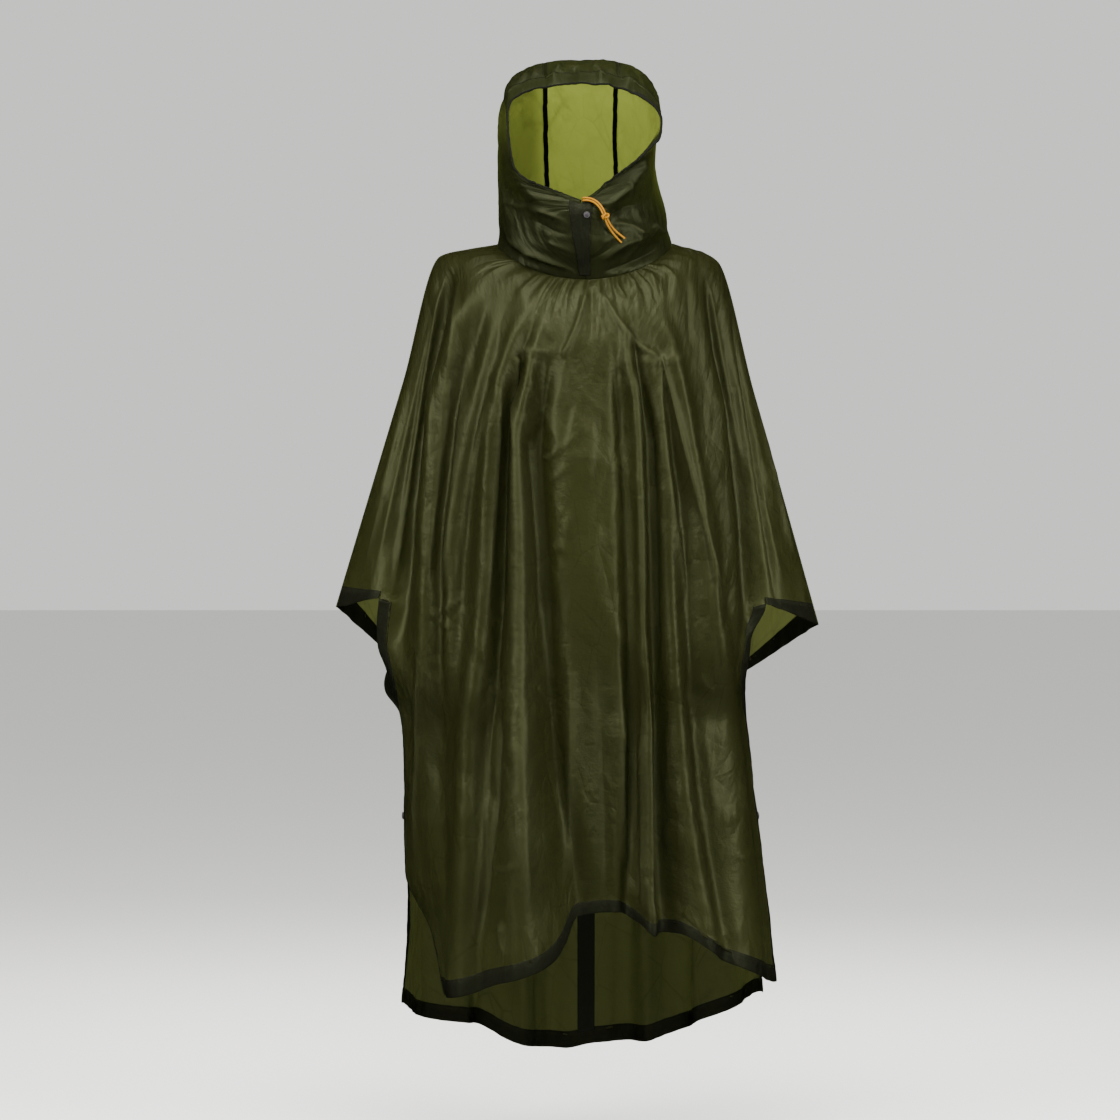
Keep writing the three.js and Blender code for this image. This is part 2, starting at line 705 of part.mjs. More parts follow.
// A panel with its sleeve, side and lower hems. The hem strips are pieces beside the panel's own
// wall, which leaves their cells out.
function buildBodyPanel(panel) {
  const grid = bodyGrid(panel);
  const left = WING_CELLS;
  const right = grid.columns - WING_CELLS;
  const sleeve = grid.sleeveRow;
  const hemRow = grid.lastRow - 1;
  const keep = seamKeeper(panel);
  const isPanel = (r, c) => {
    if (r >= hemRow) return false;
    if (r >= sleeve) return c > left && c < right - 1;
    if (r >= sleeve - 1) return c >= left && c < right;
    return true;
  };
  const body = patch(grid, [0, grid.lastRow], [0, grid.columns]);
  addPiece(`${panel.name}_panel`, wall(body, CLOTH, { has: isPanel, bounds: keep }), materials.nylon);
  const shift = (rowStart) => (point, r) => keep(point, r + rowStart);
  const strip = (name, rows, columns, gaps) => {
    const part = patch(grid, rows, columns, gaps);
    addPiece(`${panel.name}_${name}`, wall(part, HEM, { bounds: shift(rows[0]) }), materials.hem);
  };
  const gap = HEM_GAP;
  const end = grid.columns;
  strip('sleeve_hem_left', [sleeve - 1, sleeve], [0, left], { top: gap, right: gap });
  strip('sleeve_hem_right', [sleeve - 1, sleeve], [right, end], { top: gap, left: gap });
  strip('side_hem_left', [sleeve, hemRow], [left, left + 1], { top: gap, right: gap, bottom: gap });
  strip('side_hem_right', [sleeve, hemRow], [right - 1, right], { top: gap, left: gap, bottom: gap });
  strip('hem', [hemRow, hemRow + 1], [left, right], { top: gap });
  return grid;
}

// A hood ring from the centre front round the left, over the far side and back on the right
function hoodRing(t) {
  const at = (column) => tableValue(hoodRings, 't', column, t);
  const tilt = THREE.MathUtils.degToRad(at('tilt'));
  const reach = at('reach');
  const likeFace = 1 - smooth(t, 0, FACE_EDGE_SHARE);
  const entries = [];
  for (let i = 0; i <= 2 * RING_SAMPLES; i += 1) {
    const isLeft = i <= RING_SAMPLES;
    const turn = (isLeft ? i : 2 * RING_SAMPLES - i) / RING_SAMPLES;
    const share = (1 - Math.cos(turn * Math.PI)) / 2;
    const pointed = isLeft ? at('pointedLeft') : at('pointedRight');
    const blunt = at('blunt');
    const peak = pointed / (pointed + blunt);
    const most = peak ** pointed * (1 - peak) ** blunt;
    const width = (share ** pointed * (1 - share) ** blunt) / most;
    const side = isLeft ? -1 : 1;
    const half = at(isLeft ? 'halfLeft' : 'halfRight');
    const face = tableValue(faceOutline, 'share', isLeft ? 'left' : 'right', share);
    const x = at('shift') + side * mix(half * width, face, likeFace);
    const bow = at('bow') * 4 * share * (1 - share);
    const y = at('footY') + reach * share * Math.sin(tilt);
    const z = at('footZ') + reach * share * Math.cos(tilt) + bow;
    entries.push({ base: i, share, width, side, point: new THREE.Vector3(x, y, z) });
  }
  return entries;
}

// One row of the hood's grid: the ring with its folds, and columns on the placket and seams
function hoodRow(t) {
  const entries = hoodRing(t);
  const tilt = THREE.MathUtils.degToRad(tableValue(hoodRings, 't', 'tilt', t));
  const axis = new THREE.Vector3(0, -Math.cos(tilt), Math.sin(tilt));
  const moved = entries.map((entry, i) => {
    const before = entries[Math.max(0, i - 1)].point;
    const after = entries[Math.min(entries.length - 1, i + 1)].point;
    const out = after.clone().sub(before).cross(axis).normalize();
    let depth = 0;
    for (const fold of hoodFolds) {
      if (fold.side !== entry.side) continue;
      const p = (entry.share - fold.around) / fold.spread;
      const q = (t - fold.along) / fold.run;
      depth += fold.depth * Math.exp(-p * p - q * q);
    }
    depth *= smooth(t, 0, HOOD_FOLDS_FROM) * (1 - smooth(t, HOOD_FOLDS_TO, 1));
    return { ...entry, point: entry.point.clone().addScaledVector(out, depth) };
  });
  const shift = tableValue(hoodRings, 't', 'shift', t);
  const onFarHalf = (entry) => entry.share > 0.5;
  const seamLeftAt = moved.findIndex(
    (entry) => onFarHalf(entry) && entry.side < 0 && entry.point.x - shift > -HOOD_CENTRE_HALF,
  );
  const seamRightAt = moved.findIndex(
    (entry) => onFarHalf(entry) && entry.side > 0 && entry.point.x - shift > HOOD_CENTRE_HALF,
  );
  const placket = mix(PLACKET_TOP_HALF, PLACKET_FOOT_HALF, t);
  const last = moved.length - 1;
  return respace(moved, [
    { base: 0, offset: HOOD_SLIT_HALF },
    { base: 0, offset: placket, cells: 1 },
    { base: seamLeftAt, cells: HOOD_SIDE_CELLS },
    { base: seamRightAt, cells: HOOD_CENTRE_CELLS },
    { base: last, offset: -placket, cells: HOOD_SIDE_CELLS },
    { base: last, offset: -HOOD_SLIT_HALF, cells: 1 },
  ]);
}

// The hood's grid, whose first band is the drawcord channel
function hoodGrid() {
  const channelShare = CHANNEL_WIDTH / HOOD_SIDE_LENGTH;
  const rows = [hoodRow(0), hoodRow(channelShare)];
  for (let r = 1; r <= HOOD_ROWS; r += 1) rows.push(hoodRow(mix(channelShare, 1, r / HOOD_ROWS)));
  return finishGrid(rows, -1);
}

const front = buildBodyPanel(frontPanel);
const back = buildBodyPanel(backPanel);
const hood = hoodGrid();
const hoodColumns = hood.points[0].length - 1;
const seamLeft = 1 + HOOD_SIDE_CELLS;
const seamRight = seamLeft + HOOD_CENTRE_CELLS;
const hoodFoot = hood.points.length - 1;

function buildHood() {
  const pieces = [
    { name: 'hood_left', columns: [0, seamLeft], gaps: { right: SEAM_GAP / 2 } },
    {
      name: 'hood_centre',
      columns: [seamLeft, seamRight],
      gaps: { left: SEAM_GAP / 2, right: SEAM_GAP / 2 },
    },
    { name: 'hood_right', columns: [seamRight, hoodColumns], gaps: { left: SEAM_GAP / 2 } },
  ];
  for (const piece of pieces) {
    const gaps = { ...piece.gaps, top: CHANNEL_GAP, bottom: NECK_LIFT };
    const cloth = patch(hood, [1, hoodFoot], piece.columns, gaps);
    addPiece(piece.name, wall(cloth, CLOTH), materials.hoodNylon);
  }
  addPiece('hood_channel', wall(patch(hood, [0, 1], [0, hoodColumns]), CHANNEL), materials.channel);
}

// A flat ribbon along one column of a grid, to each side of it, on the outer or inner face
function ribbon(grid, column, half, rows) {
  const points = [];
  const normals = [];
  for (let r = rows[0]; r <= rows[1]; r += 1) {
    const centre = grid.points[r][column];
    const beside = [-1, 1].map((side) => {
      const other = grid.points[r][column + side];
      const share = half / centre.distanceTo(other);
      return {
        point: blend(centre, other, share),
        normal: blend(grid.normals[r][column], grid.normals[r][column + side], share).normalize(),
      };
    });
    points.push([beside[0].point, centre.clone(), beside[1].point]);
    normals.push([beside[0].normal, grid.normals[r][column], beside[1].normal]);
  }
  return { points, normals };
}

// Distance between the middles of two layers with a gap between them
const onFace = (under, gap, over) => under / 2 + gap + over / 2;

// Tapes inside the hood's two seams and down the middle of the back
function buildTapes() {
  const inside = -onFace(CLOTH, SEAM_GAP, TAPE);
  const seams = [['hood_tape_left', seamLeft], ['hood_tape_right', seamRight]];
  for (const [name, column] of seams) {
    const seam = ribbon(hood, column, HOOD_TAPE_WIDTH / 2, [1, hoodFoot]);
    const strip = patch(seam, [0, hoodFoot - 1], [0, 2], { top: TAPE_END, bottom: TAPE_END });
    addPiece(name, wall(strip, TAPE, { offset: inside }), materials.tape);
  }
  const column = nearestColumn(back, BACK_TAPE_X);
  const last = back.lastRow - 1;
  const spine = ribbon(back, column, BACK_TAPE_WIDTH / 2, [1, last]);
  const strip = patch(spine, [0, last - 1], [0, 2], { bottom: TAPE_END });
  addPiece('back_tape', wall(strip, TAPE, { offset: inside }), materials.tape);
}

// The column that ends nearest to a place across the lower edge
function nearestColumn(grid, x) {
  const row = grid.points[grid.lastRow];
  let best = 0;
  row.forEach((point, c) => {
    if (Math.abs(point.x - x) < Math.abs(row[best].x - x)) best = c;
  });
  return best;
}

// The placket covers the collar's centre-front slit
function placketGrid() {
  const order = [1, 0, hoodColumns, hoodColumns - 1];
  const rows = { points: [], normals: [] };
  for (let r = 1; r <= hoodFoot; r += 1) {
    rows.points.push(order.map((c) => hood.points[r][c].clone()));
    rows.normals.push(order.map((c) => hood.normals[r][c]));
  }
  return patch(rows, [0, hoodFoot - 1], [0, 3], { top: PLACKET_TOP_END, bottom: PLACKET_FOOT_END });
}

// A domed press stud cap with a flat base, laid on a face at a point
function addStud(name, point, normal, radius, height) {
  const profile = STUD_PROFILE.map(([across, up]) => new THREE.Vector2(across * radius, up * height));
  const stud = addPiece(name, new THREE.LatheGeometry(profile, STUD_SIDES), materials.stud);
  stud.position.copy(point);
  stud.quaternion.setFromUnitVectors(new THREE.Vector3(0, 1, 0), normal);
}

// The placket and the stud on it
function buildPlacket() {
  const grid = placketGrid();
  const offset = onFace(CLOTH, PLACKET_GAP, HEM);
  addPiece('hood_placket', wall(grid, HEM, { offset }), materials.hem);
  const points = grid.points[PLACKET_STUD_ROW];
  const normals = grid.normals[PLACKET_STUD_ROW];
  const place = blend(points[2], points[3], 0.5);
  const normal = blend(normals[2], normals[3], 0.5).normalize();
  place.addScaledVector(normal, offset + HEM / 2 + STUD_GAP);
  addStud('placket_stud', place, normal, PLACKET_STUD_RADIUS, STUD_HEIGHT);
}

// One stud on each side hem of the front panel
function buildSideStuds() {
  const rightEdge = front.columns - WING_CELLS;
  const studs = [
    { name: 'side_stud_left', edge: WING_CELLS, inner: WING_CELLS + 1 },
    { name: 'side_stud_right', edge: rightEdge, inner: rightEdge - 1 },
  ];
  for (const { name, edge, inner } of studs) {
    let row = front.sleeveRow;
    while (front.points[row + 1][edge].z > SIDE_STUD_Z) row += 1;
    const span = front.points[row][edge].z - front.points[row + 1][edge].z;
    const f = (front.points[row][edge].z - SIDE_STUD_Z) / span;
    const between = (list) => [row, row + 1]
      .map((r) => blend(list[r][edge], list[r][inner], 0.5))
      .reduce((above, below) => blend(above, below, f));
    const normal = between(front.normals).normalize();
    const place = between(front.points).addScaledVector(normal, HEM / 2 + STUD_GAP);
    addStud(name, place, normal, STUD_RADIUS, STUD_HEIGHT);
  }
}

const cordCurve = (points) => new THREE.CatmullRomCurve3(points, false, 'centripetal');

// One strand beside the cord's middle line
function cordStrand(side) {
  const middle = cordRoute.map(([x, y, z]) => new THREE.Vector3(x, y, z));
  return middle.map((point, i) => {
    const along = middle[Math.min(i + 1, middle.length - 1)].clone().sub(middle[Math.max(0, i - 1)]);
    const beside = along.setY(0).cross(new THREE.Vector3(0, 1, 0)).normalize();
    return point.clone().addScaledVector(beside, side * CORD_SPREAD[i]);
  });
}

// The cord's two ends and the ring that stands for their knot
function buildDrawcord() {
  const section = new THREE.Shape();
  section.absarc(0, 0, CORD_RADIUS, 0, Math.PI * 2);
  for (const [name, side] of [['drawcord_left', -1], ['drawcord_right', 1]]) {
    const path = cordCurve(cordStrand(side));
    const tube = new THREE.ExtrudeGeometry(section, {
      extrudePath: path,
      steps: Math.round(path.getLength() / CORD_STEP),
      curveSegments: CORD_SIDES / 2,
      bevelEnabled: false,
    });
    addPiece(name, tube, materials.cord);
  }
  const middle = cordCurve(cordRoute.map((p) => new THREE.Vector3(...p)));
  const at = KNOT_AT / (cordRoute.length - 1);
  const ring = [];
  for (let i = 0; i <= KNOT_SIDES; i += 1) {
    const turn = (i / KNOT_SIDES) * Math.PI * 2;
    ring.push(new THREE.Vector2(
      KNOT_HOLE + KNOT_TUBE * (1 - Math.cos(turn)),
      -KNOT_TUBE * KNOT_LENGTHEN * Math.sin(turn),
    ));
  }
  const knot = addPiece('drawcord_knot', new THREE.LatheGeometry(ring, KNOT_SIDES), materials.cord);
  knot.position.copy(middle.getPoint(at));
  knot.quaternion.setFromUnitVectors(new THREE.Vector3(0, 1, 0), middle.getTangent(at));
}

buildHood();
buildTapes();
buildPlacket();
buildSideStuds();
buildDrawcord();

export default group;
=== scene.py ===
"""Looks of the rain poncho: thin coated nylon in its worn shape, hollow, over a pale floor.

The cloth is worked out from the sections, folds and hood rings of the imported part, on grids fine
enough for its creases, gathers and puckered seams. Hems, tapes, studs, stitching and the drawcord
are pieces of their own. Lengths are millimetres until a mesh is made, and metres in the meshes.
"""

from __future__ import annotations

import logging
import math
from collections.abc import Sequence
from dataclasses import dataclass, field
from enum import Enum

import bpy
import numpy as np
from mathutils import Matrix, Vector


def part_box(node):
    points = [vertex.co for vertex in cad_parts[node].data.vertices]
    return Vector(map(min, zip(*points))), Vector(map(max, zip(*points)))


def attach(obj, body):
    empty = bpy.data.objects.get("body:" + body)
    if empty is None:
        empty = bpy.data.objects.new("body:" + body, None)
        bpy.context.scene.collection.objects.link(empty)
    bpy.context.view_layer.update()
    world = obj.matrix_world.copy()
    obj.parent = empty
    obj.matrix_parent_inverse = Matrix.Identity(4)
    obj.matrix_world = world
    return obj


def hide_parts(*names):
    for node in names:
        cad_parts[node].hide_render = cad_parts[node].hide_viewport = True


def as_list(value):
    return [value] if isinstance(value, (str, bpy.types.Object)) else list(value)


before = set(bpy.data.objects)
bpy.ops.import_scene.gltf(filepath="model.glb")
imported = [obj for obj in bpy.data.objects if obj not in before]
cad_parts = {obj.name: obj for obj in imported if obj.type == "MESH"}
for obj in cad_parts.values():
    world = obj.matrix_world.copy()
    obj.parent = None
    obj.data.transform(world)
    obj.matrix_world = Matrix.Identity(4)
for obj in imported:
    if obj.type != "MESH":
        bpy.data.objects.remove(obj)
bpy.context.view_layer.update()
LOG = logging.getLogger("rain_poncho")
Array = np.ndarray

MM = 0.001
BODY = "root"

# The viewing point: straight on, this far from the shoulder line
VIEW_AWAY = 5500.0
VIEW_X = -32.0
VIEW_Z = -502.0
VIEW_PITCH = 1.62
VIEW_HALF = 560.0
SENSOR = 36.0
FLOOR_Z = -1470.0

# Thicknesses and widths of the cloth and trim
CLOTH = 0.7
HEM_THICK = 1.9
TAPE_THICK = 0.9
HEM_WIDTH = 18.0
CHANNEL_WIDTH = 15.0
HOOD_SIDE_LENGTH = 300.0
PLACKET_TOP_HALF = 21.0
PLACKET_FOOT_HALF = 8.0
HOOD_TAPE_WIDTH = 8.0
BACK_TAPE_WIDTH = 30.0
BACK_TAPE_X = 12.0
HOOD_CENTRE_HALF = 58.0
HOOD_SLIT_HALF = 0.4

# Shares of a panel's sections, from 0 at the neck by 1 at the sleeve tips to 2 at the lower edge
SLEEVE_HEM = 0.97
FOOT_HEM = 1.965
SHOULDER_SECTION = 0.3
SIDE_SECTION = 1.3
NECK_SECTION = 0.088
FOLD_STATIONS = (0.57, 0.91, 1.38, 1.95)
FACE_EDGE_SHARE = 0.22
RING_SAMPLES = 720


class Layer(Enum):
    """The side of a cloth that a trim lies on."""

    OUTSIDE = 1
    INSIDE = -1


def smooth(x: Array | float, low: float, high: float) -> Array:
    """Rises from 0 at low to 1 at high as 3 f squared less 2 f cubed."""
    f = np.clip((np.asarray(x, float) - low) / (high - low), 0.0, 1.0)
    return f * f * (3.0 - 2.0 * f)


def mix(a: Array | float, b: Array | float, share: Array | float) -> Array:
    """Goes from a to b by a share."""
    return a + (b - a) * share


def unit(vectors: Array) -> Array:
    """Vectors cut to length one."""
    size = np.linalg.norm(vectors, axis=-1, keepdims=True)
    return vectors / np.maximum(size, 1e-9)


def hermite(x: Array, y: Array, at: Array) -> Array:
    """Reads y at places along x on cubic pieces that never pass their neighbours.

    The slope at a row is the harmonic mean of the slopes beside it, or nothing at a turn.

    Args:
        x: places of the rows, rising.
        y: values of the rows.
        at: places to read, of any shape.

    Returns:
        Values of the shape of at.
    """
    slope = np.diff(y) / np.diff(x)
    before, after = slope[:-1], slope[1:]
    agree = before * after > 0
    inner = np.where(agree, 2 * before * after / np.where(agree, before + after, 1.0), 0.0)
    tangent = np.concatenate([slope[:1], inner, slope[-1:]])
    at = np.clip(at, x[0], x[-1])
    i = np.clip(np.searchsorted(x, at, side="right") - 1, 0, len(x) - 2)
    span = x[i + 1] - x[i]
    f = (at - x[i]) / span
    rise = f * f * (3 - 2 * f)
    ends = tangent[i] * f * (1 - f) ** 2 + tangent[i + 1] * f * f * (f - 1)
    return y[i] + (y[i + 1] - y[i]) * rise + span * ends


class Table:
    """Rows of values with named columns, read between rows along the first column."""

    def __init__(self, columns: str, rows: Sequence[Sequence[float]]) -> None:
        """Keeps the column names and the rows as one array."""
        self.names = columns.split()
        self.values = np.array(rows, float)

    def column(self, name: str) -> Array:
        """All of one column's values."""
        return self.values[:, self.names.index(name)]

    def at(self, name: str, where: Array | float) -> Array:
        """One column's value at places along the first column."""
        return hermite(self.values[:, 0], self.column(name), np.asarray(where, float))


ARM_LINE = Table(
    "v left right seamLeft seamRight",
    [
        [0.0, -133, 149, 8, 8],
        [0.15, -181, 190, 0, -2],
        [0.3, -225, 222, -11, -19],
        [0.55, -285, 280, -214, -227],
        [0.8, -343, 337, -408, -431],
        [1.0, -394, 386, -578, -607],
    ],
)
SECTION_COLUMNS = (
    "v edgeLeft edgeRight riseLeft riseRight middle depth power root sideLeft sideRight"
)
FRONT_SECTIONS = Table(
    SECTION_COLUMNS,
    [
        [0.0, -112, 126, -8, -8, -56, -105, 2, 0.5, 0, 0],
        [0.15, -160, 170, -14, -16, -99, -135, 2, 0.55, 0, 0],
        [0.3, -200, 198, -45, -48, -172, -160, 2.1, 0.6, 0, 0],
        [0.55, -262, 250, -222, -232, -314, -178, 2.1, 0.66, 0, 0],
        [0.8, -298, 280, -404, -418, -471, -188, 2, 0.72, 0, 0],
        [1.0, -322, 300, -563, -572, -627, -196, 2, 0.75, 0, 0],
        [1.1, -326, 279, 0, 0, 0, -199, 2.1, 0.72, -2, -2],
        [1.2, -308, 264, 0, 0, 0, -202, 2.3, 0.66, -4, -4],
        [1.35, -287, 272, 0, 0, 0, -207, 2.4, 0.6, -2, -2],
        [1.7, -283, 297, 0, 0, 0, -220, 2.4, 0.56, -4, -4],
        [1.85, -238, 307, 0, 0, 0, -226, 2.4, 0.56, -66, -20],
        [2.0, -214, 314, 0, 0, 0, -232, 2.4, 0.56, -112, -44],
    ],
)
BACK_SECTIONS = Table(
    SECTION_COLUMNS,
    [
        [0.0, -112, 126, 6, 6, 14, 112, 2, 0.5, 0, 0],
        [0.15, -160, 170, -8, -10, -22, 126, 2, 0.55, 0, 0],
        [0.3, -200, 198, -32, -38, -92, 142, 2.1, 0.6, 0, 0],
        [0.55, -262, 246, -228, -240, -260, 158, 2.1, 0.66, 0, 0],
        [0.8, -292, 262, -440, -462, -452, 170, 2, 0.72, 0, 0],
        [1.0, -309, 267, -661, -692, -660, 184, 2, 0.75, 0, 0],
        [1.08, -322, 262, 0, 0, 0, 188, 2.1, 0.72, 2, 2],
        [1.16, -302, 260, 0, 0, 0, 193, 2.3, 0.66, 4, 4],
        [1.3, -281, 266, 0, 0, 0, 202, 2.4, 0.6, -12, -8],
        [1.7, -277, 286, 0, 0, 0, 236, 2.4, 0.56, 2, -14],
        [2.0, -290, 298, 0, 0, 0, 264, 2.4, 0.56, 40, 20],
    ],
)
FRONT_HEM_LINE = Table(
    "x z",
    [
        [-214, -1191],
        [-169, -1183],
        [-122, -1161],
        [-74, -1144],
        [-42, -1126],
        [-24, -1100],
        [-6, -1060],
        [62, -1052],
        [92, -1068],
        [108, -1084],
        [152, -1084],
        [199, -1117],
        [248, -1145],
        [314, -1179],
    ],
)
BACK_HEM_LINE = Table(
    "x z",
    [
        [-290, -1225],
        [-271, -1249],
        [-226, -1273],
        [-162, -1287],
        [-108, -1320],
        [-29, -1332],
        [24, -1322],
        [114, -1316],
        [164, -1296],
        [212, -1272],
        [298, -1205],
    ],
)
FOLD_COLUMNS = "chest elbow thigh foot half halfFoot depth depthFoot start end"
FRONT_FOLDS = Table(
    FOLD_COLUMNS,
    [
        [-228, -244, -248, -186, 15, 16, 15, 4, 0.16, 1.9],
        [-202, -222, -222, -180, 11, 12, -12, 0, 0.2, 1.7],
        [-172, -205, -206, -172, 12, 14, 12, 6, 0.2, 1.3],
        [-138, -150, -166, -164, 17, 36, 20, 44, 0.14, 3],
        [-116, -122, -142, -146, 10, 12, -18, -12, 0.2, 3],
        [-94, -97, -96, -84, 15, 42, 20, 58, 0.16, 3],
        [-68, -54, -42, -6, 15, 27, -20, -38, 0.25, 3],
        [-8, 16, 24, 36, 44, 32, 8, -36, 0.3, 3],
        [66, 76, 82, 76, 11, 13, -14, -26, 0.25, 3],
        [88, 94, 104, 106, 11, 13, 18, 40, 0.16, 3],
        [108, 114, 124, 136, 10, 18, -16, -28, 0.2, 3],
        [132, 142, 152, 190, 11, 26, 6, 30, 0.3, 3],
        [146, 170, 180, 218, 12, 14, -9, -10, 0.35, 3],
        [166, 206, 230, 252, 14, 34, 16, 24, 0.18, 3],
        [-270, -290, -300, -310, 17, 20, -36, -40, 0.22, 1.2],
        [256, 276, 284, 290, 17, 20, -32, -34, 0.22, 1.2],
    ],
)
BACK_FOLDS = Table(
    FOLD_COLUMNS,
    [
        [-206, -226, -236, -240, 18, 28, 18, 24, 0.12, 3],
        [-168, -190, -196, -196, 14, 18, -16, -18, 0.16, 3],
        [-128, -140, -146, -150, 18, 26, 22, 30, 0.12, 3],
        [-92, -98, -98, -96, 14, 18, -16, -20, 0.2, 3],
        [-50, -48, -46, -46, 14, 22, 12, 20, 0.22, 3],
        [66, 68, 72, 76, 16, 22, 14, 20, 0.2, 3],
        [98, 108, 114, 118, 14, 18, -16, -20, 0.2, 3],
        [134, 150, 158, 162, 18, 26, 22, 28, 0.12, 3],
        [172, 188, 196, 204, 14, 18, -14, -16, 0.16, 3],
        [204, 216, 230, 244, 18, 26, 16, 22, 0.12, 3],
        [-262, -276, -292, -300, 17, 20, -32, -36, 0.22, 1.3],
        [246, 252, 262, 270, 16, 20, -28, -32, 0.22, 1.3],
    ],
)
HOOD_RINGS = Table(
    "t tilt reach halfLeft halfRight footY footZ pointedLeft pointedRight blunt bow shift",
    [
        [0.0, 2, 188, 116, 128, -132, 66, 0.42, 0.74, 0.2, 0, 2],
        [0.25, 27, 287, 132, 124, -137, 44, 0.46, 0.5, 0.36, 4, 1],
        [0.5, 50, 322, 133, 121, -134, 17, 0.46, 0.46, 0.38, 6, 1],
        [0.75, 67, 286, 136, 137, -124, -14, 0.46, 0.46, 0.42, 14, 4],
        [1.0, 72.12, 228, 141, 141, -105, -56, 0.5, 0.5, 0.5, 29, 8],
    ],
)
FACE_OUTLINE = Table(
    "share left right",
    [
        [0.0, 0, 0],
        [0.05, 24, 16],
        [0.1, 49, 28],
        [0.17, 82, 44],
        [0.25, 104, 64],
        [0.34, 110, 88],
        [0.45, 113, 110],
        [0.55, 115, 124],
        [0.65, 116, 128],
        [0.75, 117, 122],
        [0.85, 110, 102],
        [0.92, 82, 76],
        [0.97, 48, 48],
        [1.0, 0, 0],
    ],
)
HOOD_FOLDS = Table(
    "side around along spread run depth",
    [
        [-1, 0.13, 0.5, 0.1, 0.16, 7],
        [-1, 0.2, 0.78, 0.12, 0.1, -6],
        [1, 0.1, 0.42, 0.08, 0.14, 9],
        [1, 0.16, 0.66, 0.12, 0.1, -7],
        [-1, 0.25, 0.9, 0.2, 0.07, 7],
        [1, 0.25, 0.88, 0.2, 0.08, 9],
        [-1, 0.8, 0.84, 0.2, 0.08, 9],
        [1, 0.8, 0.84, 0.2, 0.08, 9],
        [-1, 0.86, 0.12, 0.12, 0.1, -6],
        [1, 0.9, 0.16, 0.1, 0.1, -5],
    ],
)

